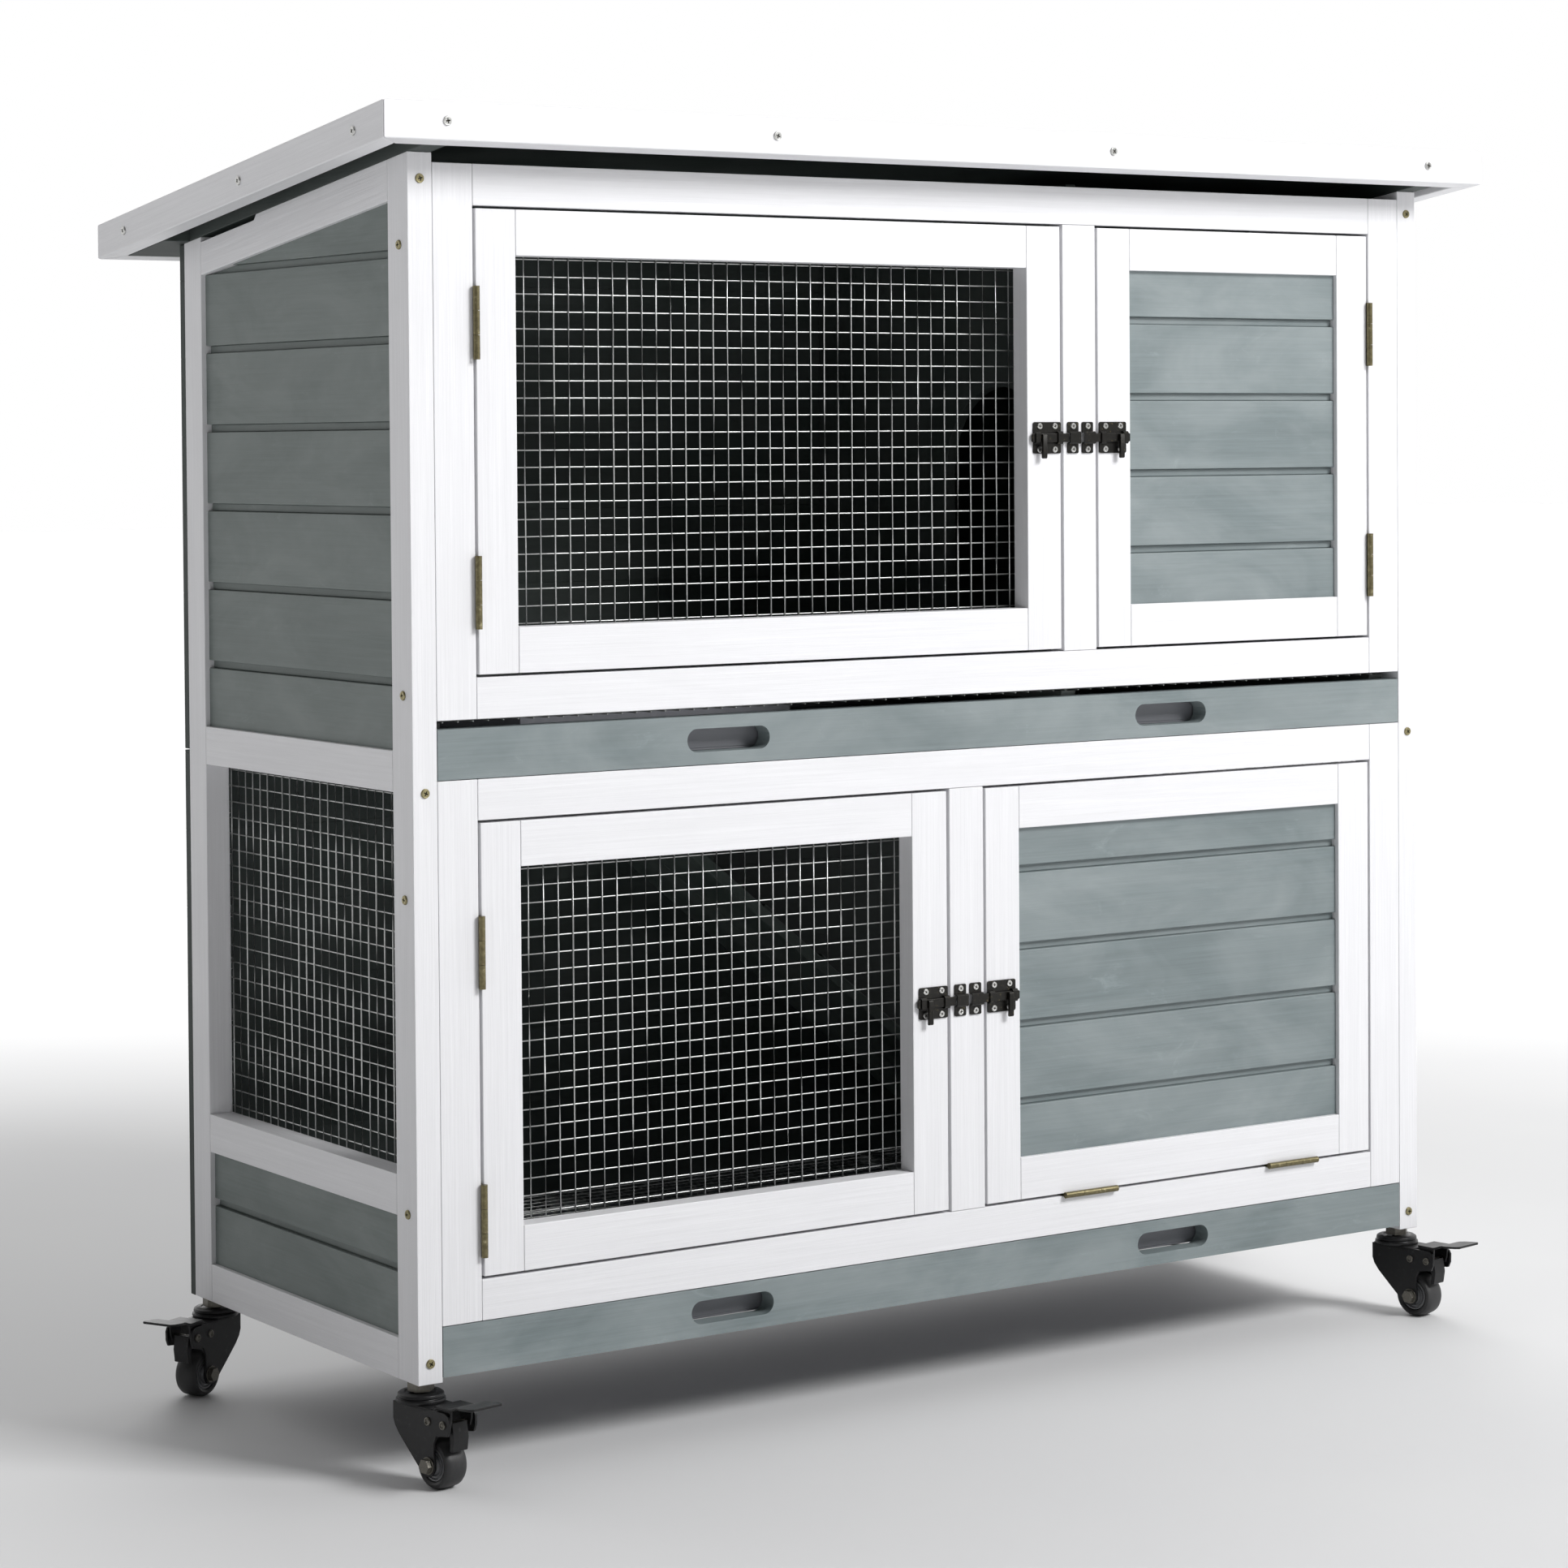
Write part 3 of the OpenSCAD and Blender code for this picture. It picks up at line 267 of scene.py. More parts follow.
WHITE = (0.80, 0.80, 0.82)
BOARD = (0.185, 0.225, 0.232)
white_paint = painted_wood("white_timber", WHITE, contrast=0.075, mottle=0.05, rough=0.46,
                           bump=0.5, rings=30)
board_paint = painted_wood("grey_green_boards", BOARD, contrast=0.2, mottle=0.2, scuff=0.3,
                           rough=0.56, bump=0.35, knot=0.35)
side_paint = painted_wood("grey_green_side_boards", (0.150, 0.180, 0.172), contrast=0.2,
                          mottle=0.2, scuff=0.28, rough=0.58, bump=0.35, knot=0.3)
# Dark green paint taken nearly to black so that the hutch's inside stays dark: partly the boards'
# own colour, partly painted shade. The roof deck uses it too.
dark_paint_and_painted_shade = painted_wood("dark_back_boards", (0.022, 0.034, 0.030), contrast=0.25, mottle=0.06,
                          rough=0.66, bump=0.4)
inner_paint = painted_wood("inner_timber", (0.040, 0.052, 0.048), contrast=0.2, mottle=0.08,
                           rough=0.62, bump=0.4)
ramp_paint = painted_wood("ramp_board", (0.045, 0.068, 0.058), contrast=0.25, mottle=0.12,
                          rough=0.66, bump=0.45)
runner_paint = painted_wood("runner_timber", (0.30, 0.32, 0.31), coords="y", contrast=0.2,
                            mottle=0.1, rough=0.6)
wire_metal = metal("galvanised_wire", (0.62, 0.63, 0.62), rough=0.42, vary=0.22, scale=500)
hinge_metal = metal("bronze_hinges", (0.235, 0.205, 0.115), rough=0.38, vary=0.45, scale=300,
                    wear=(0.42, 0.38, 0.24))
latch_metal = metal("black_latches", (0.016, 0.015, 0.013), rough=0.36, metallic=0.6, vary=0.3,
                    scale=400, wear=(0.10, 0.082, 0.04))
steel = metal("bright_steel", (0.66, 0.66, 0.64), rough=0.32, vary=0.2, scale=500)
zinc_screw = metal("yellow_zinc_screws", (0.36, 0.32, 0.18), rough=0.34, vary=0.3, scale=600)
# Near-black colour for the bottoms of screw recesses: painted shade, not a finish of the screws.
painted_recess_shade = metal("screw_recess_painted_shade", (0.04, 0.035, 0.025), rough=0.6, metallic=0.7, scale=600)
caster_paint = metal("caster_steel", (0.014, 0.014, 0.015), rough=0.38, metallic=0.35, vary=0.3,
                     scale=260, wear=(0.035, 0.035, 0.036))
rivet = metal("rivet_steel", (0.20, 0.19, 0.165), rough=0.4, metallic=0.9, scale=500)
tyre = plastic("caster_tyre", (0.018, 0.018, 0.019), rough=0.5)
hub_grey = plastic("caster_hub", (0.17, 0.172, 0.18), rough=0.4)
tray_sheet = plastic("tray_sheet", (0.20, 0.205, 0.225), rough=0.5, grainy=420)
felt = felt_material()


def repaint(node, material):
    """A CAD node whose shape stays gets a better material in its own slots."""
    for place in frame["nodes"][node].material_slots:
        place.material = material


# ---------- shape building ----------

class Shape:
    """Closed solids gathered in one mesh, with UVs (metres) that follow each solid's grain."""

    def __init__(self):
        self.bm = bmesh.new()
        self.uv = self.bm.loops.layers.uv.new("grain")

    def unwrap(self, faces, grain):
        shift = Vector((rng.uniform(-9, 9), rng.uniform(-9, 9)))
        g = grain.normalized()
        for f in faces:
            f.normal_update()
            side = f.normal.cross(g)
            if side.length < 0.4:
                a = f.normal.orthogonal().normalized()
                b = f.normal.cross(a)
                for loop in f.loops:
                    p = loop.vert.co
                    loop[self.uv].uv = (p.dot(a) * 2 + shift.x, p.dot(b) * 2 + shift.y)
                continue
            side.normalize()
            for loop in f.loops:
                p = loop.vert.co
                loop[self.uv].uv = (p.dot(g) + shift.x, p.dot(side) + shift.y)

    def prism(self, loops, axis, low, high, grain, place=None, material=0):
        """Extrudes an outline and its holes, given in the plane across axis."""
        if not isinstance(loops[0][0], (tuple, list, Vector)):
            loops = [loops]
        u, v = [(1, 2), (0, 2), (0, 1)][axis]
        flat = [[Vector((p[0], p[1], 0)) for p in loop] for loop in loops]
        tris = tessellate_polygon(flat) if len(loops) > 1 else [list(range(len(loops[0])))]
        ends = []
        for level in (low, high):
            row = []
            for loop in loops:
                for p in loop:
                    co = [0, 0, 0]
                    co[u], co[v], co[axis] = p[0], p[1], level
                    co = Vector(co)
                    row.append(self.bm.verts.new(place(co) if place else co))
            ends.append(row)
        faces = []
        for tri in tris:
            faces.append(self.bm.faces.new([ends[0][i] for i in tri]))
            faces.append(self.bm.faces.new([ends[1][i] for i in reversed(tri)]))
        start = 0
        for loop in loops:
            n = len(loop)
            for i in range(n):
                j = (i + 1) % n
                faces.append(self.bm.faces.new([ends[0][start + i], ends[0][start + j],
                                                ends[1][start + j], ends[1][start + i]]))
            start += n
        self.close(faces, grain, material)

    def close(self, faces, grain, material=0):
        bmesh.ops.recalc_face_normals(self.bm, faces=faces)
        for f in faces:
            f.material_index = material
        self.unwrap(faces, grain)

    def block(self, low, high, grain, place=None, material=0):
        """A timber between two corners."""
        self.prism([(low[0], low[1]), (high[0], low[1]), (high[0], high[1]), (low[0], high[1])],
                   2, low[2], high[2], grain, place, material)

    def ribbon(self, stations, thick, grain, place):
        """A bent plate: (x, half width, z) stations along local X."""
        rings = []
        for x, half, z in stations:
            corners = ((-half, z), (half, z), (half, z + thick), (-half, z + thick))
            rings.append([self.bm.verts.new(place(Vector((x, y, h)))) for y, h in corners])
        faces = [self.bm.faces.new(rings[0][::-1]), self.bm.faces.new(rings[-1])]
        for a, b in zip(rings, rings[1:]):
            for k in range(4):
                faces.append(self.bm.faces.new([a[k], a[(k + 1) % 4], b[(k + 1) % 4], b[k]]))
        self.close(faces, grain)

    def tube(self, path, radius, sides=8):
        """A round wire along a path."""
        rings = []
        for i, p in enumerate(path):
            ahead = path[min(i + 1, len(path) - 1)] - path[max(i - 1, 0)]
            turn = ahead.to_track_quat("Z", "Y")
            rings.append([self.bm.verts.new(p + turn @ Vector(
                (radius * math.cos(2 * math.pi * k / sides),
                 radius * math.sin(2 * math.pi * k / sides), 0))) for k in range(sides)])
        self.bm.faces.new(rings[0][::-1])
        self.bm.faces.new(rings[-1])
        for a, b in zip(rings, rings[1:]):
            for k in range(sides):
                f = self.bm.faces.new([a[k], a[(k + 1) % sides], b[(k + 1) % sides], b[k]])
                f.smooth = True

    def lathe(self, profile, place, steps, material=0):
        """Turns (radius, height) points about local Z; one that starts off the axis closes."""
        rings = []
        for r, h in profile:
            if r < 1e-6:
                rings.append([self.bm.verts.new(place(Vector((0, 0, h))))])
            else:
                rings.append([self.bm.verts.new(place(Vector(
                    (r * math.cos(2 * math.pi * k / steps), r * math.sin(2 * math.pi * k / steps),
                     h)))) for k in range(steps)])
        faces = []
        following = rings[1:] + (rings[:1] if profile[0][0] > 1e-6 else [])
        for a, b in zip(rings, following):
            for k in range(steps):
                quad = [a[k % len(a)], a[(k + 1) % len(a)], b[(k + 1) % len(b)], b[k % len(b)]]
                quad = list(dict.fromkeys(quad))
                if len(quad) > 2:
                    f = self.bm.faces.new(quad)
                    f.smooth = True
                    f.material_index = material
                    faces.append(f)
        bmesh.ops.recalc_face_normals(self.bm, faces=faces)

    def merge_flat(self):
        """Joins the triangles of flat faces."""
        bmesh.ops.dissolve_limit(self.bm, angle_limit=0.02, verts=self.bm.verts,
                                 edges=self.bm.edges)

    def finish(self, name, body, materials, replaces=(), bevel=0.0, segments=2, smooth=None):
        """Makes the piece. Bevel is an edge width, smooth the angle of the sharpest soft edge."""
        mesh = bpy.data.meshes.new(name)
        self.bm.normal_update()
        self.bm.to_mesh(mesh)
        self.bm.free()
        for m in materials:
            mesh.materials.append(m)
        obj = bpy.data.objects.new(name, mesh)
        bpy.context.collection.objects.link(obj)
        if smooth is not None:
            mesh.shade_smooth()
            mesh.set_sharp_from_angle(angle=math.radians(smooth))
        if bevel:
            mod = obj.modifiers.new("edges", "BEVEL")
            mod.width = bevel
            mod.segments = segments
            mod.limit_method = "ANGLE"
            mod.angle_limit = math.radians(35)
            mod.harden_normals = True
            mesh.shade_smooth()
            mesh.set_sharp_from_angle(angle=math.radians(40))
        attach(obj, body)
        if replaces:
            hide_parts(*replaces)


def placed(origin, direction, up=Z):
    """A function that carries local points to a place whose Z axis is the direction."""
    d = Vector(direction).normalized()
    side = up.cross(d)
    side = side.normalized() if side.length > 0.1 else X.copy()
    turn = Matrix((side, d.cross(side), d)).transposed()
    return lambda p: Vector(origin) + turn @ p


def rounded(x0, x1, z0, z1, r, steps=5):
    """A rectangle with round corners."""
    points = []
    for cx, cz, start in ((x1 - r, z1 - r, 0), (x0 + r, z1 - r, 90), (x0 + r, z0 + r, 180),
                          (x1 - r, z0 + r, 270)):
        for k in range(steps + 1):
            a = math.radians(start + 90 * k / steps)
            points.append((cx + r * math.cos(a), cz + r * math.sin(a)))
    return points


def screw(shape, at, outward, r, rise, turn, sunk=0.0, head=0, dark=1):
    """A screw head with a cross recess; head and dark are places in the piece's materials. Dark
    holds a near-black plug whose top shows at the bottom of the recess: painted shade.
    """
    base = placed(Vector(at) - Vector(outward) * sunk, outward)
    cos, sin = math.cos(turn), math.sin(turn)
    place = lambda p: base(Vector((p.x * cos - p.y * sin, p.x * sin + p.y * cos, p.z)))
    count = 28
    circle = lambda q: [(q * math.cos(2 * math.pi * k / count),
                         q * math.sin(2 * math.pi * k / count)) for k in range(count)]
    a, b = r * 0.13, r * 0.52
    cross = [(b, -a), (b, a), (a, a), (a, b), (-a, b), (-a, a), (-b, a), (-b, -a), (-a, -a),
             (-a, -b), (a, -b), (a, -a)]
    shape.prism([circle(r * 0.8), cross], 2, rise * 0.35, rise, Z, place, head)
    # A near-black plug under the cross recess, whose top shows at the recess bottom: painted shade.
    shape.prism(circle(r * 0.6), 2, 0, rise * 0.4, Z, place, dark)
    shape.lathe([(r, 0), (r, rise * 0.3), (r * 0.93, rise * 0.75), (r * 0.8, rise),
                 (r * 0.79, rise * 0.3), (r * 0.79, 0)], place, count, head)


# ---------- wire panels ----------

def wavy(p0, p1, across, amount=0.16 * MM, step=55 * MM):
    """A nearly straight wire: a welded panel is never perfectly flat."""
    n = max(2, int((p1 - p0).length / step))
    path = [p0 + (p1 - p0) * (i / n) for i in range(n + 1)]
    return [p + across * rng.uniform(-amount, amount) * (0 < i < n) for i, p in enumerate(path)]


def centred(low, high):
    count = int((high - low) / WIRE_PITCH)
    start = (low + high - count * WIRE_PITCH) / 2
    return [start + i * WIRE_PITCH for i in range(count + 1)]


def upright_wire(node, body, inward):
    """A welded panel lapped over its frame: uprights against the timber, level wires on them."""
    low, high = box_of(node)
    thin = 0 if high.x - low.x < high.y - low.y else 1
    flat = 1 - thin
    near = (low if inward > 0 else high)[thin] + inward * WIRE_R
    far = near + inward * 2 * WIRE_R
    shape = Shape()
    nudge = AXES[flat]

    def point(a, level, z):
        p = Vector((0, 0, z))
        p[thin], p[flat] = level, a
        return p

    for a in centred(low[flat] + WIRE_LAP, high[flat] - WIRE_LAP):
        shape.tube(wavy(point(a, near, low.z), point(a, near, high.z), nudge), WIRE_R)
    for z in centred(low.z + WIRE_LAP, high.z - WIRE_LAP):
        shape.tube(wavy(point(low[flat], far, z), point(high[flat], far, z), Z), WIRE_R)
    staples(shape, low, high, thin, flat, far, inward)
    shape.finish(node + "_wire", body, [wire_metal], [node])


def staples(shape, low, high, thin, flat, level, inward):
    """Staples that hold the panel to its frame."""
    half, reach, r = 4.5 * MM, 1.4 * MM, 0.45 * MM
    edge = WIRE_LAP * 0.4
    spots = []
    for k in range(1, 7):
        t = k / 7
        for z in (low.z + edge, high.z - edge):
            spots.append((low[flat] + (high[flat] - low[flat]) * t, z, 0))
        for a in (low[flat] + edge, high[flat] - edge):
            spots.append((a, low.z + (high.z - low.z) * t, 1))
    for a, z, upright in spots:
        lean = rng.uniform(-0.25, 0.25)
        du = half * (math.sin(lean) if upright else math.cos(lean))
        dz = half * (math.cos(lean) if upright else math.sin(lean))
        path = []
        for side, depth in ((-1, -reach), (-1, r), (1, r), (1, -reach)):
            p = Vector((0, 0, z + side * dz))
            p[flat] = a + side * du
            p[thin] = level + inward * (WIRE_R + depth)
            path.append(p)
        shape.tube(path, r, 6)


def floor_wire(node, hole=None):
    """The welded floor, cut away over the ramp hole."""
    low, high = box_of(node)
    shape = Shape()
    z0 = low.z + WIRE_R
    z1 = high.z - WIRE_R
    x0, x1, y0, y1 = low.x, high.x, low.y, high.y
    i = 0
    while x0 + i * WIRE_PITCH < x1 - WIRE_R:
        x = x0 + i * WIRE_PITCH + WIRE_R
        end = hole[2] if hole and hole[0] - WIRE_R < x < hole[1] else y1
        shape.tube(wavy(Vector((x, y0, z0)), Vector((x, end, z0)), X), WIRE_R)
        i += 1
    k = 0
    while y0 + k * WIRE_PITCH < y1 - WIRE_R:
        y = y0 + k * WIRE_PITCH + WIRE_R
        if hole and y > hole[2] - WIRE_R:
            shape.tube(wavy(Vector((x0, y, z1)), Vector((hole[0], y, z1)), Y), WIRE_R)
            shape.tube(wavy(Vector((hole[1], y, z1)), Vector((x1, y, z1)), Y), WIRE_R)
        else:
            shape.tube(wavy(Vector((x0, y, z1)), Vector((x1, y, z1)), Y), WIRE_R)
        k += 1
    shape.finish(node + "_wire", "hutch", [wire_metal], [node])


# ---------- side frames and boards ----------

def side_frame(node, mesh_node):
    low, high = box_of(node)
    wire_low, wire_high = box_of(mesh_node)
    sill_top = wire_low.z + WIRE_LAP
    mid = wire_high.z - WIRE_LAP
    y0, y1 = FACE + SIDE_TIMBER, REAR - SIDE_TIMBER
    shape = Shape()
    for a, b in ((FACE, y0), (y1, REAR)):
        shape.prism([(a, FOOT), (b, FOOT), (b, roof_z(b)), (a, roof_z(a))], 0, low.x, high.x, Z)
    y0 += JOINT
    y1 -= JOINT
    for z in (FOOT, sill_top - SIDE_TIMBER, mid):
        shape.block((low.x, y0, z), (high.x, y1, z + SIDE_TIMBER), Y)
    notch, depth = FACE + 242 * MM, 4 * MM
    shape.prism([(y0, roof_z(y0) - SIDE_TIMBER), (y1, roof_z(y1) - SIDE_TIMBER),
                 (y1, roof_z(y1) - depth), (notch + depth, roof_z(notch + depth) - depth),
                 (notch, roof_z(notch)), (y0, roof_z(y0))], 0, low.x, high.x,
                Vector((0, 1, -ROOF_SLOPE)))
    shape.finish(node + "_timbers", "hutch", [white_paint], [node], TIMBER_EDGE)


def grooved_boards(low_z, high_z, first_groove):
    """(bottom, top, sunk) of each board and of the sunk tongue above it."""
    levels = []
    z, groove = low_z, first_groove
    while groove - GROOVE / 2 < high_z:
        levels.append((z, groove - GROOVE / 2, False))
        z = groove + GROOVE / 2
        levels.append((groove - GROOVE / 2, min(z, high_z), True))
        groove += PLANK_PITCH
    if z < high_z:
        levels.append((z, high_z, False))
    return levels


def side_planks(node):
    """Boards tucked into the frame; the upper field ends under the sloping rail."""
    low, high = box_of(node)
    left = low.x < 0
    outer, inner = (low.x, high.x) if left else (high.x, low.x)
    sunk = outer + (GROOVE_DEPTH if left else -GROOVE_DEPTH)
    wire_low, wire_high = box_of("left_side_mesh")  # both sides' wires have the same heights
    skirt = (FOOT + SIDE_TIMBER, wire_low.z + WIRE_LAP - SIDE_TIMBER)
    mid_top = wire_high.z - WIRE_LAP + SIDE_TIMBER
    y0, y1 = low.y - TUCK, high.y + TUCK
    slope_top = roof_z(y0) - SIDE_TIMBER + TUCK
    shape = Shape()

    def strip(a, b, x):
        """One board, cut along the slope where it reaches it."""
        cut_a = y0 + (slope_top - a) / ROOF_SLOPE
        cut_b = y0 + (slope_top - b) / ROOF_SLOPE
        outline = [(y0, a), (min(y1, cut_a), a)]
        if cut_a > y1:
            outline.append((y1, min(b, slope_top - ROOF_SLOPE * (y1 - y0))))
        if y0 < cut_b < y1:
            outline.append((cut_b, b))
        outline.append((y0, min(b, slope_top)))
        shape.prism(outline, 0, min(x, inner), max(x, inner), Y)

    for a, b, is_sunk in grooved_boards(skirt[0] - TUCK, skirt[1] + TUCK, skirt[0] + SIDE_GROOVE):
        strip(a, b, sunk if is_sunk else outer)
    for a, b, is_sunk in grooved_boards(mid_top - TUCK, slope_top, mid_top + SIDE_GROOVE):
        if slope_top - a > SLIVER:
            strip(a, b, sunk if is_sunk else outer)
    shape.finish(node + "_boards", "hutch", [side_paint], [node],
                 BOARD_EDGE, 3)


# ---------- front frames and doors ----------

def four_timbers(shape, low, high, stile, rail):
    """Stiles run the full height; the rails between them stop a hair short."""
    x0, x1 = low.x + stile, high.x - stile
    shape.block((low.x + JOINT, low.y, low.z), (x0, high.y, high.z), Z)
    shape.block((x1, low.y, low.z), (high.x - JOINT, high.y, high.z), Z)
    for z in (low.z, high.z - rail):
        shape.block((x0 + JOINT, low.y, z), (x1 - JOINT, high.y, z + rail), X)


def front_frame(node, post_x):
    low, high = box_of(node)
    shape = Shape()
    four_timbers(shape, low, high, FRONT_STILE, FRONT_RAIL)
    shape.block((post_x, low.y, low.z + FRONT_RAIL + JOINT),
                (post_x + FRONT_STILE, high.y, high.z - FRONT_RAIL - JOINT), Z)
    shape.finish(node + "_timbers", "hutch", [white_paint], [node], TIMBER_EDGE)


def door_timbers(door):
    node = door + "_frame"
    low, high = box_of(node)
    shape = Shape()
    four_timbers(shape, low, high, DOOR_TIMBER, DOOR_TIMBER)
    shape.finish(node + "_timbers", door, [white_paint], [node], TIMBER_EDGE)


def door_planks(door):
    node = door + "_planks"
    low, high = box_of(node)
    shape = Shape()
    for a, b, is_sunk in grooved_boards(low.z - TUCK, high.z + TUCK, low.z + DOOR_GROOVE):
        shape.block((low.x - TUCK, low.y + (GROOVE_DEPTH if is_sunk else 0), a),
                    (high.x + TUCK, high.y, b), X)
    shape.finish(node + "_boards", door, [board_paint], [node], BOARD_EDGE, 3)


for side in ("left", "right"):
    side_frame(side + "_side_frame", side + "_side_mesh")
    side_planks(side + "_side_planks")
    upright_wire(side + "_side_mesh", "hutch", 1 if side == "left" else -1)

upper_post = box_of("upper_left_door_frame")[1].x + POST_GAP
lower_post = box_of("lower_left_door_frame")[1].x + POST_GAP
front_frame("upper_front_frame", upper_post)
front_frame("lower_front_frame", lower_post)
for door in ("upper_left_door", "upper_right_door", "lower_left_door", "ramp_door"):
    door_timbers(door)
for door in ("upper_left_door", "lower_left_door"):
    upright_wire(door + "_mesh", door, 1)
for door in ("upper_right_door", "ramp_door"):
    door_planks(door)


# ---------- back, floors, divider, ramp ----------

NAIL = [(0, 0.5 * MM), (3 * MM, 0.45 * MM), (3.6 * MM, 0.1 * MM), (3.6 * MM, -0.6 * MM),
        (0, -0.6 * MM)]
NAIL_INSET = 12 * MM


def back_panel(node):
    """Boards over a thin core, so that no light passes between them."""
    low, high = box_of(node)
    shape = Shape()
    core = (high.y - low.y) * 0.3
    short = 0.5 * MM
    shape.block((low.x + short, low.y + core, low.z + short),
                (high.x - short, high.y - core, high.z - short), X)
    z = low.z
    while z < high.z - 2 * short:
        top = min(z + PLANK_PITCH, high.z)
        shape.block((low.x, low.y, z), (high.x, high.y, top), X)
        for x in (low.x + NAIL_INSET, 0, high.x - NAIL_INSET):
            shape.lathe(NAIL, placed((x, high.y, (z + top) / 2), Y), 16, 1)
        z = top
    # The boards' near-black paint is partly painted shade for the hutch's inside.
    shape.finish(node + "_boards", "hutch", [dark_paint_and_painted_shade, rivet], [node],
                 BOARD_EDGE, 3)


back_panel("back_upper_panel")
back_panel("back_lower_panel")

BODY_LEFT = left_low.x
HOLE_L = 225 * MM
HOLE_W = 136 * MM
HOLE_X0 = BODY_LEFT + 225 * MM
HOLE_X1 = HOLE_X0 + HOLE_L
HOLE_Y = REAR - HOLE_W
floor_wire("lower_floor_mesh")
floor_wire("upper_floor_mesh", (HOLE_X0, HOLE_X1, HOLE_Y))


def divider():
    """The board between the rooms, with an arched doorway."""
    low, high = box_of("room_divider")
    width, height = 146 * MM, 244 * MM
    r = width / 2
    y0 = FACE + 36 * MM
    cy = y0 + r
    spring = low.z + height - r
    steps = 28
    arch = [(y0, low.z), (y0, spring)]
    for k in range(1, steps):
        a = math.pi * k / steps
        arch.append((cy - r * math.cos(a), spring + r * math.sin(a)))
    arch += [(y0 + width, spring), (y0 + width, low.z)]
    top = lambda y: roof_z(y) - 1 * MM
    outline = [(low.y, low.z)] + arch
    outline += [(high.y, low.z), (high.y, top(high.y)), (low.y, top(low.y))]
    shape = Shape()
    shape.prism(outline, 0, low.x, high.x, Z)
    bmesh.ops.triangulate(shape.bm, faces=[f for f in shape.bm.faces if len(f.verts) > 8])
    shape.finish("room_divider_board", "hutch", [inner_paint], ["room_divider"],
                 BOARD_EDGE)


def inner_ramp():
    """Two boards with cleats, from the lower floor up to the hole."""
    low, high = box_of("inner_ramp")
    thick, cleat_h, cleat_w, count, margin = 10 * MM, 5 * MM, 9 * MM, 8, 8 * MM
    foot = Vector((BODY_LEFT + 739 * MM, low.y, low.z))
    run = foot.x - HOLE_X0
    rise = box_of("upper_floor_mesh")[0].z - 8 * MM - foot.z
    length, angle = math.hypot(run, rise), math.atan2(rise, run)
    turn = Matrix.Rotation(angle, 3, "Y")
    place = lambda p: foot + turn @ (p - Vector((length, 0, 0)))
    shape = Shape()
    half = (high.y - low.y) / 2
    along = turn @ X
    for k in range(2):
        end = (k + 1) * half - 0.5 * MM * (1 - k)
        shape.block((0, k * half, 0), (length, end, thick), along, place)
    for i in range(1, count + 1):
        x = i * length / (count + 1)
        shape.block((x, margin, thick), (x + cleat_w, 2 * half - margin, thick + cleat_h), Y, place)
    shape.finish("inner_ramp_boards", "hutch", [ramp_paint], ["inner_ramp"],
                 1.0 * MM)


divider()
inner_ramp()
repaint("floor_runners", runner_paint)


# ---------- trays ----------

def tray(name):
    """Front board with two finger slots, and the pan behind it."""
    node = name + "_front"
    low, high = box_of(node)
    mid_x, mid_z = (low.x + high.x) / 2, (low.z + high.z) / 2
    slot_l, slot_h, offset = 74 * MM, 17.5 * MM, 215 * MM
    loops = [[(low.x, low.z), (high.x, low.z), (high.x, high.z), (low.x, high.z)]]
    for s in (-1, 1):
        x = mid_x + s * offset
        loops.append(rounded(x - slot_l / 2, x + slot_l / 2, mid_z - slot_h / 2,
                             mid_z + slot_h / 2, slot_h / 2 - 0.01 * MM, 8))
    shape = Shape()
    shape.prism(loops, 1, low.y, high.y, X)
    shape.merge_flat()
    shape.finish(node + "_board", name, [board_paint], [node], 1.8 * MM, 3)
    pan(name + "_pan", name, name == "upper_tray")


def inset(outline, d):
    """Moves every side of an anticlockwise outline inwards."""
    n = len(outline)
    made = []
    for i in range(n):
        p, q, r = (Vector(outline[k % n]) for k in (i - 1, i, i + 1))
        a, b = (q - p).normalized(), (r - q).normalized()
        na, nb = Vector((-a.y, a.x)), Vector((-b.y, b.x))
        made.append(tuple(q + (na + nb) * (d / (1 + na.dot(nb)))))
    return made


def pan(node, body, notched):
    """A sheet pan with a turned rim and low ribs; the upper one is cut around the ramp hole."""
    low, high = box_of(node)
    wall, rim, side = 1.6 * MM, 4 * MM, 12 * MM
    rib_half, rib_inset, ribs = 3 * MM, 14 * MM, 11
    outline = [(low.x, low.y), (high.x, low.y), (high.x, high.y)]
    if notched:
        notch_y = HOLE_Y - 10 * MM - side
        outline += [(HOLE_X1 + side, high.y), (HOLE_X1 + side, notch_y),
                    (HOLE_X0 - side, notch_y), (HOLE_X0 - side, high.y)]
    outline.append((low.x, high.y))
    shape = Shape()
    wall_out = inset(outline, rim - wall)
    shape.prism(wall_out, 2, low.z, low.z + wall, X)
    shape.prism([wall_out, inset(outline, rim)], 2, low.z + wall, high.z - wall, X)
    shape.prism([outline, inset(outline, rim)], 2, high.z - wall, high.z, X)
    for k in range(1, ribs + 1):
        x = low.x + (high.x - low.x) * k / (ribs + 1)
        if not (notched and HOLE_X0 - 20 * MM < x < HOLE_X1 + 20 * MM):
            shape.block((x - rib_half, low.y + rib_inset, low.z + wall),
                        (x + rib_half, high.y - rib_inset, low.z + wall + 1 * MM), Y)
    shape.merge_flat()
    shape.finish(node + "_sheet", body, [tray_sheet], [node], 0.5 * MM)


tray("upper_tray")
tray("lower_tray")


# ---------- roof ----------

fascia_low, fascia_high = box_of("roof_fascia")
FASCIA_H = 27.5 * MM
FASCIA_T = 18 * MM
FELT_T = 1.5 * MM
DECK_T = 9 * MM


def on_slope(p):
    """Carries a point whose Z is its height over the roof's underside."""
    return Vector((p.x, p.y, roof_z(p.y) + p.z))


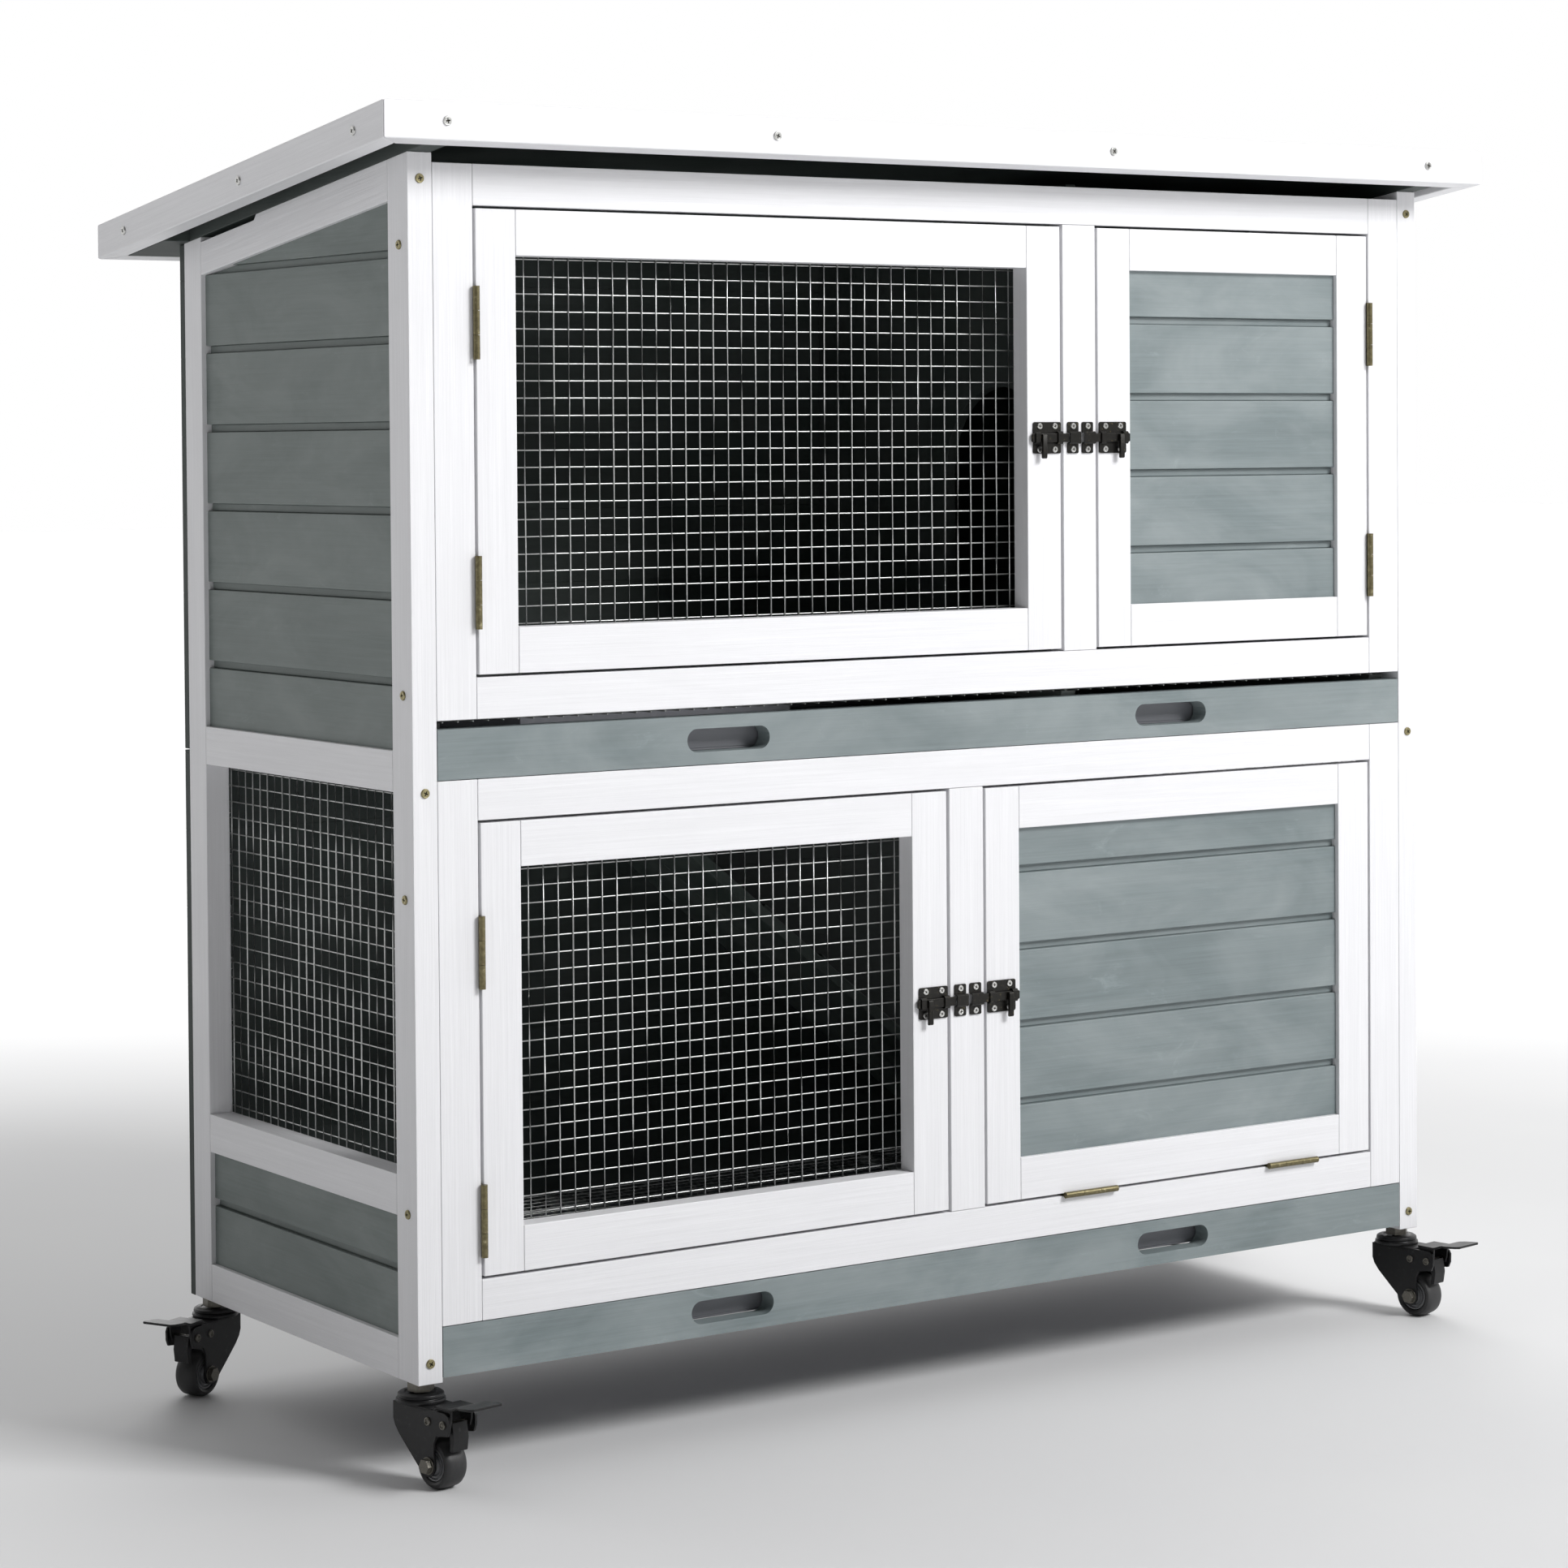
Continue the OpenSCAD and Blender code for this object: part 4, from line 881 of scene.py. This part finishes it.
def fascia(x0, x1, y0, y1, t):
    """Four boards with mitred corners."""
    outer = [(x0, y0), (x1, y0), (x1, y1), (x0, y1)]
    inner = [(x0 + t, y0 + t), (x1 - t, y0 + t), (x1 - t, y1 - t), (x0 + t, y1 - t)]
    shape = Shape()
    for i in range(4):
        j = (i + 1) % 4
        grain = X if i % 2 == 0 else Vector((0, 1, -ROOF_SLOPE))
        shape.prism([outer[i], outer[j], inner[j], inner[i]], 2, 0, FASCIA_H, grain, on_slope)
    shape.finish("roof_fascia_boards", "roof", [white_paint], ["roof_fascia"],
                 1.2 * MM)


def deck(x0, x1, y0, y1):
    """Boards on two side battens and a rear one."""
    batten, batten_w = FASCIA_H - FELT_T - DECK_T, 20 * MM
    rear = REAR - 10 * MM
    count, gap = 6, 1 * MM
    pitch = (y1 - y0) / count
    shape = Shape()
    for i in range(count):
        shape.block((x0, y0 + i * pitch, batten),
                    (x1, y0 + (i + 1) * pitch - gap, batten + DECK_T), X, on_slope)
    for x in (left_low.x, right_high.x - batten_w):
        shape.block((x, y0, 0), (x + batten_w, rear, batten), Y, on_slope)
    shape.block((x0, rear, 0), (x1, y1, batten), X, on_slope)
    # The deck boards share the back boards' near-black paint, which is partly painted shade.
    shape.finish("roof_deck_boards", "roof", [dark_paint_and_painted_shade], ["roof_deck"],
                 0.8 * MM)


def felt_bands(x0, x1, y0, y1):
    """Lapped bands, nailed along their edges."""
    bands, lap, edge, end = 3, 40 * MM, 8 * MM, 12 * MM
    band = (y1 - y0) / bands
    bed = FASCIA_H - FELT_T
    nails = 15
    shape = Shape()
    for i in range(bands):
        level = bed + 0.45 * MM * (bands - 1 - i)
        a = y0 + i * band
        b = min(y0 + (i + 1) * band + lap * (i < bands - 1), y1)
        shape.block((x0, a, level - 0.3 * MM), (x1, b, level + 0.5 * MM), X, on_slope)
    for y in (y0 + edge, y0 + band + lap - edge, y0 + 2 * band + lap - edge, y1 - edge):
        for k in range(nails):
            along = (x1 - x0 - 2 * end) * k / (nails - 1)
            x = x0 + end + along + rng.uniform(-3, 3) * MM
            base = on_slope(Vector((x, y, FASCIA_H - 0.35 * MM)))
            shape.lathe(NAIL, placed(base, (0, ROOF_SLOPE, 1)), 14, 1)
    shape.finish("roof_felt_bands", "roof", [felt, steel], ["roof_felt"], 0.3 * MM, 1)


def roof():
    x0, x1, y0, y1 = fascia_low.x, fascia_high.x, fascia_low.y, fascia_high.y
    fascia(x0, x1, y0, y1, FASCIA_T)
    inside = (x0 + FASCIA_T, x1 - FASCIA_T, y0 + FASCIA_T, y1 - FASCIA_T)
    deck(*inside)
    felt_bands(*inside)


roof()


# ---------- screws ----------

def screws():
    """Screw heads at the CAD screws' places, which are given in mm over the posts' feet."""
    shape = Shape()

    def put(at, out):
        screw(shape, at, out, 3.5 * MM, 1.3 * MM, rng.uniform(0, 1.5))

    for x in (left_low.x + 10 * MM, right_high.x - 10 * MM):
        for z in (15, 426, 866):
            put((x, FACE, FOOT + z * MM), -Y)
    for x, out in ((left_low.x, -X), (right_high.x, X)):
        for z in (122, 349, 496, 819):
            put((x, FACE + 13 * MM, FOOT + z * MM), out)
    shape.finish("frame_screw_heads", "hutch", [zinc_screw, painted_recess_shade],
                 ["frame_screws"])
    shape = Shape()
    y0, y1 = fascia_low.y, fascia_high.y
    mid = FASCIA_H / 2
    for x in (11, 291, 611, 948):
        for y, out in ((y0, -Y), (y1, Y)):
            put((BODY_LEFT + x * MM, y, roof_z(y) + mid), out)
    for x, out in ((fascia_low.x, -X), (fascia_high.x, X)):
        for d in (5, 189, 395):
            y = FACE + d * MM
            put((x, y, roof_z(y) + mid), out)
    shape.finish("roof_screw_heads", "roof", [steel, painted_recess_shade],
                 ["roof_screws"])


screws()


# ---------- hinges ----------

for name in frame["nodes"]:
    if name.endswith(("_hinges", "hinge_leaves")):
        repaint(name, hinge_metal)


# ---------- latches ----------

PLATE_T = 1.2 * MM
STRAP_WALL = 1 * MM
STRAP_HALF = 3.9 * MM
SCREW_UP = 9.2 * MM
LATCH_LOOKS = [latch_metal, steel, painted_recess_shade]


def small_screw(shape, x, y, z):
    screw(shape, (x, y, z), -Y, 2.6 * MM, 1.0 * MM, rng.uniform(0, 1.5), 0.1 * MM, 1, 2)


def latch_plate(node, body):
    """Black plate with two straps over the bolt and four screws."""
    low, high = box_of(node)
    cx, cz = (low.x + high.x) / 2, (low.z + high.z) / 2
    front = high.y - PLATE_T
    shape = Shape()
    shape.prism(rounded(low.x, high.x, low.z, high.z, 1.6 * MM), 1, front, high.y, X)
    strap_w, wall, inner = 5 * MM, STRAP_WALL, STRAP_HALF
    out, foot = low.y, front + 0.1 * MM
    half = [(foot, inner + wall * 1.2), (foot, inner), (out + wall + 0.3 * MM, inner - 0.1 * MM),
            (out + wall, inner - 0.6 * MM)]
    nose = [(out, inner - 0.5 * MM), (out + 1.2 * MM, inner + wall)]
    for x in (low.x, high.x - strap_w):
        loop = [(y, cz - h) for y, h in half[:1] + nose[::-1]]
        loop += [(y, cz + h) for y, h in nose + half]
        loop += [(y, cz - h) for y, h in half[:0:-1]]
        shape.prism(loop, 0, x, x + strap_w, Z)
    for dx in (-7.6 * MM, 7.6 * MM):
        for dz in (-SCREW_UP, SCREW_UP):
            small_screw(shape, cx + dx, front, cz + dz)
    shape.finish(node + "_detail", body, LATCH_LOOKS, [node], 0.35 * MM)


def bolt(node, sign):
    """Flat bar that shoots towards sign, with a hanging thumb piece near its tail."""
    low, high = box_of(node)
    bar_h, bar_t, arm_half, arm_at = 7 * MM, 2.2 * MM, 2.2 * MM, 10.25 * MM
    cz = high.z - bar_h / 2
    front = high.y - bar_t
    root = front + 0.3 * MM
    shape = Shape()
    shape.prism(rounded(low.x, high.x, cz - bar_h / 2, cz + bar_h / 2, 1.2 * MM), 1, front, high.y,
                X)
    arm_x = low.x + arm_at if sign > 0 else high.x - arm_at
    side = [(root, cz + 3 * MM), (low.y + 0.6 * MM, cz + 3 * MM), (low.y, cz + 2 * MM),
            (low.y, low.z + 1 * MM), (low.y + 0.8 * MM, low.z), (low.y + 2.2 * MM, low.z),
            (low.y + 2.7 * MM, low.z + 1 * MM), (low.y + 2.2 * MM, cz - 3.2 * MM),
            (root, cz - 2.4 * MM)]
    shape.prism(side, 0, arm_x - arm_half, arm_x + arm_half, Z)
    shape.finish(node + "_detail", node, [latch_metal], [node], 0.5 * MM)


def keepers():
    """Two loops on each centre post, each with an upper and a lower wing."""
    node = "latch_keepers"
    low, high = box_of(node)
    out, front = low.y, high.y - PLATE_T
    width, margin, half_h = 11 * MM, 3.6 * MM, 12.5 * MM
    wall, inner = STRAP_WALL, STRAP_HALF
    outside = [(front, inner + wall), (out + 1 * MM, inner + wall), (out, inner)]
    inside = [(front, inner), (out + wall + 0.3 * MM, inner), (out + wall, inner - 0.5 * MM)]
    shape = Shape()
    for post, plate in ((upper_post, "upper_left_latch_plate"),
                        (lower_post, "lower_left_latch_plate")):
        p_low, p_high = box_of(plate)
        cz = (p_low.z + p_high.z) / 2
        for x in (post + margin, post + FRONT_STILE - margin - width):
            for s in (-1, 1):
                z0, z1 = sorted((cz + s * inner, cz + s * half_h))
                shape.prism(rounded(x, x + width, z0, z1, 1.3 * MM), 1, front, high.y, X)
                small_screw(shape, x + width / 2, front, cz + s * SCREW_UP)
            loop = [(y, cz - h) for y, h in outside]
            loop += [(y, cz + h) for y, h in outside[::-1] + inside]
            loop += [(y, cz - h) for y, h in inside[::-1]]
            shape.prism(loop, 0, x, x + width, Z)
    shape.finish("latch_keeper_loops", "hutch", LATCH_LOOKS, [node], 0.35 * MM)


for key, body, sign in (("upper_left", "upper_left_door", 1),
                        ("upper_right", "upper_right_door", -1),
                        ("lower_left", "lower_left_door", 1), ("ramp_door", "ramp_door", -1)):
    latch_plate(key + "_latch_plate", body)
    bolt(key + "_bolt", sign)
keepers()


# ---------- casters ----------

joints = {j["name"]: j for j in frame["joints"]}
FORK_HALF = 13 * MM
FORK_PLATE = 2 * MM
FORK_TOP = FOOT - 14 * MM

# Caster outlines in mm: cheek (x, z under the fork's top), turned parts (radius, height), lever
# (x, half width, rise), shoe (x, z from the brake pin)
CHEEK = [(-16, -0.5), (-16, -13), (-14, -18), (-9.5, -23.5), (2, -34), (11, -42), (15, -45.5),
         (19, -48.5), (24, -49.5), (28, -48), (31, -43.5), (31, -38), (30, -31), (30.4, -24),
         (33, -18.4), (46, -16.6), (48, -12), (48.2, -5), (46.6, -2), (43, -0.3), (30, -0.3)]
CAP = [(4.05, 0), (18, 0), (18.3, 1.1), (18, 2.5), (16.6, 2.9), (16.6, 3.5), (17.2, 4.1),
       (16.8, 5.9), (15.2, 6.9), (12, 7), (11, 6.2), (4.05, 6.2)]
RIVET = [(0, 0.3), (1.7, 0.3), (1.9, 1.1), (2.5, 1.3), (3.1, 0.9), (3.2, -0.3)]
WASHER = [(6.4, 0), (6.4, 0.9), (2, 0.9), (2, 0)]
BRAKE_ROD = [(0, -14), (1.6, -14), (1.6, 14), (0, 14)]
HUB = [(3.05, 10), (6.2, 10), (6.9, 9.2), (7.1, 7.4), (8.0, 6.9), (8.2, 8.2), (9.4, 8.5),
       (9.6, 7.0), (10.5, 6.8), (10.8, 8.2), (11.9, 8.3), (12.3, 7.2)]
LEVER = [(31, 11.5, 0), (47, 12, 0), (50, 12, 0.8), (54, 12.2, 2.4), (57, 13, 3.2),
         (61, 14.8, 3.6), (72, 15, 4.7), (75, 14, 5), (76, 12.6, 5.1)]
SHOE = [(-2, 1), (3, 1), (5, -10), (3.5, -20), (0, -20.5), (0.5, -12)]
HEX_R = 5.6
RIVET_PITCH = 17 * MM


def in_mm(points):
    return [tuple(v * MM for v in p) for p in points]


def caster(key):
    """Fork with cap, braked wheel with ringed hub, flared pedal; local X runs to the pedal."""
    swivel, axle, brake = (Vector(joints[key + "_" + n]["pos_m"])
                           for n in ("swivel", "axle", "brake_pin"))
    across = Vector(joints[key + "_axle"]["axis"]).normalized()
    ahead = across.cross(Z)
    trail, radius = (axle - swivel).dot(ahead), axle.z
    brake_x, brake_z = (brake - swivel).dot(ahead), brake.z
    centre = Vector((swivel.x, swivel.y, 0))
    turn = Matrix((ahead, across, Z)).transposed()
    place = lambda p: centre + turn @ Vector(p)
    spin = lambda p: place((trail + p.x, p.z, radius + p.y))
    body = key + "_caster"
    top = FORK_TOP

    shape = Shape()
    cheek = [(x, top + z) for x, z in in_mm(CHEEK)]
    for y in (-FORK_HALF, FORK_HALF - FORK_PLATE):
        shape.prism(cheek, 1, y, y + FORK_PLATE, Z, place)
    shape.prism(rounded(-16 * MM, 27 * MM, -FORK_HALF, FORK_HALF, 4 * MM), 2, top - FORK_PLATE,
                top, X, place)
    shape.lathe(in_mm(CAP), lambda p: place((p.x, p.y, p.z + top)), 56)
    for x in (brake_x - RIVET_PITCH, brake_x):
        for s in (-1, 1):
            put = lambda p, x=x, s=s: place((x + p.x, s * (FORK_HALF + p.z), brake_z + p.y))
            shape.lathe(in_mm(RIVET), put, 28, 1)
    shape.finish(key + "_fork_steel", body, [caster_paint, rivet], [key + "_fork"],
                 0.5 * MM)

    shape = Shape()
    hexagon = in_mm([(HEX_R * math.cos(math.pi * k / 3), HEX_R * math.sin(math.pi * k / 3))
                     for k in range(6)])
    for s in (-1, 1):
        base = lambda p, s=s: place((trail + p.x, s * (FORK_HALF + p.z), radius + p.y))
        shape.prism(hexagon, 2, 0.8 * MM, 4.4 * MM, Z, base)
        shape.lathe(in_mm(WASHER), base, 32)
    shape.finish(key + "_axle_bolt", body, [rivet], (), 0.25 * MM, 1)

    def turned(name, half, material, replaces):
        """A wheel part from one half of its outline."""
        shape = Shape()
        profile = in_mm(half)
        profile += [(r, -h) for r, h in reversed(profile) if h > 0]
        shape.lathe(profile, spin, 64)
        shape.finish(key + name, key + "_roller", [material], replaces, 0.0, 2, 35)

    rim = radius / MM
    turned("_tyre", [(rim - 6, 7.6), (rim - 5.2, 9.0), (rim - 3.4, 9.8), (rim - 1.6, 9.2),
                     (rim - 0.5, 7.6), (rim - 0.1, 4.5), (rim, 0)], tyre, [key + "_wheel"])
    turned("_hub", HUB, hub_grey, ())

    shape = Shape()
    z = top + 1.5 * MM
    shape.ribbon([(x, w, z + h) for x, w, h in in_mm(LEVER)], 1.9 * MM, X, place)
    lug = [(32 * MM, z + 1 * MM), (33 * MM, brake_z + 2 * MM), (brake_x - 4 * MM, brake_z - 3 * MM),
           (brake_x + 4 * MM, brake_z - 3 * MM), (brake_x + 5.5 * MM, brake_z + 2 * MM),
           (brake_x + 6 * MM, z + 1 * MM)]
    for y in (-10.5, 8.5):
        shape.prism(lug, 1, y * MM, (y + 2) * MM, X, place)
    shoe = [(brake_x + x, brake_z + h) for x, h in in_mm(SHOE)]
    shape.prism(shoe, 1, -7 * MM, 7 * MM, X, place)
    rod = lambda p: place((brake_x + p.x, p.z, brake_z + p.y))
    shape.lathe(in_mm(BRAKE_ROD), rod, 20, 1)
    shape.finish(key + "_pedal_steel", key + "_brake", [caster_paint, rivet],
                 [key + "_pedal"], 0.5 * MM)


for key in ("front_left", "front_right", "rear_left", "rear_right"):
    caster(key)
repaint("caster_stems", rivet)


# ---------- studio ----------

WORLD_DIM = 0.12
KEY_POWER = 185
FILL_POWER = 40
FLOOR_GLOW = 0.62
FLOOR_HALF = 30


def studio():
    """Pale floor that brightens away from the hutch, a world lit from behind, and two lamps."""
    m, tree, bsdf = start_material("studio_floor")
    at = new_node(tree, "ShaderNodeTexCoord").outputs["Object"]
    haze = noise(tree, at, 3, 3, 0.5)
    tree.links.new(mix(tree, haze, (0.65, 0.65, 0.66, 1), (0.69, 0.69, 0.69, 1)),
                   bsdf.inputs["Base Color"])
    bsdf.inputs["Roughness"].default_value = 0.75
    bsdf.inputs["Emission Color"].default_value = (1, 1, 1, 1)
    reach = new_node(tree, "ShaderNodeVectorMath", {"operation": "LENGTH"}, i0=at)
    glow = new_node(tree, "ShaderNodeMapRange", {"interpolation_type": "SMOOTHSTEP"},
                    Value=reach.outputs["Value"], From_Min=0.9, From_Max=3.2, To_Min=0.0,
                    To_Max=FLOOR_GLOW)
    tree.links.new(glow.outputs[0], bsdf.inputs["Emission Strength"])
    mesh = bpy.data.meshes.new("studio_floor")
    corners = [(x * FLOOR_HALF, y * FLOOR_HALF, 0)
               for x, y in ((-1, -1), (1, -1), (1, 1), (-1, 1))]
    mesh.from_pydata(corners, [], [(0, 1, 2, 3)])
    mesh.materials.append(m)
    floor = bpy.data.objects.new("studio_floor", mesh)
    bpy.context.collection.objects.link(floor)

    world = bpy.data.worlds.new("studio")
    world.use_nodes = True
    tree = world.node_tree
    way = new_node(tree, "ShaderNodeTexCoord").outputs["Generated"]
    side = new_node(tree, "ShaderNodeVectorMath", {"operation": "DOT_PRODUCT"}, i0=way,
                    i1=(0.62, 0.78, 0.0)).outputs["Value"]
    glow = ramp(tree, math_node(tree, "ADD", math_node(tree, "MULTIPLY", side, 0.5), 0.5),
                [(0.36, grey(WORLD_DIM)), (0.70, grey(1.0))])
    tree.links.new(glow, tree.nodes["Background"].inputs[0])
    tree.nodes["Background"].inputs[1].default_value = 1.0
    bpy.context.scene.world = world

    def area(name, place, target, size, power):
        lamp = bpy.data.lights.new(name, "AREA")
        lamp.energy, lamp.size = power, size
        obj = bpy.data.objects.new(name, lamp)
        obj.location = place
        obj.rotation_euler = (Vector(target) - Vector(place)).to_track_quat("-Z", "Y").to_euler()
        bpy.context.collection.objects.link(obj)

    area("key", (1.7, -3.3, 3.1), (0, 0, 0.5), 1.5, KEY_POWER)
    area("back_fill", (1.6, 3.4, 2.4), (0, 0, 0.5), 2.2, FILL_POWER)


def camera():
    """The photograph's viewpoint, solved from the hutch's straight edges."""
    data = bpy.data.cameras.new("camera")
    data.sensor_width = 36
    data.lens = 89.36
    data.shift_y = -0.153
    data.clip_start, data.clip_end = 0.05, 100
    obj = bpy.data.objects.new("camera", data)
    obj.location = (-1.8131, -2.6462, 0.7484)
    obj.rotation_euler = [math.radians(a) for a in (88.511, 0.401, -33.921)]
    bpy.context.collection.objects.link(obj)
    bpy.context.scene.camera = obj


studio()
camera()
bpy.context.scene.view_settings.view_transform = "Standard"
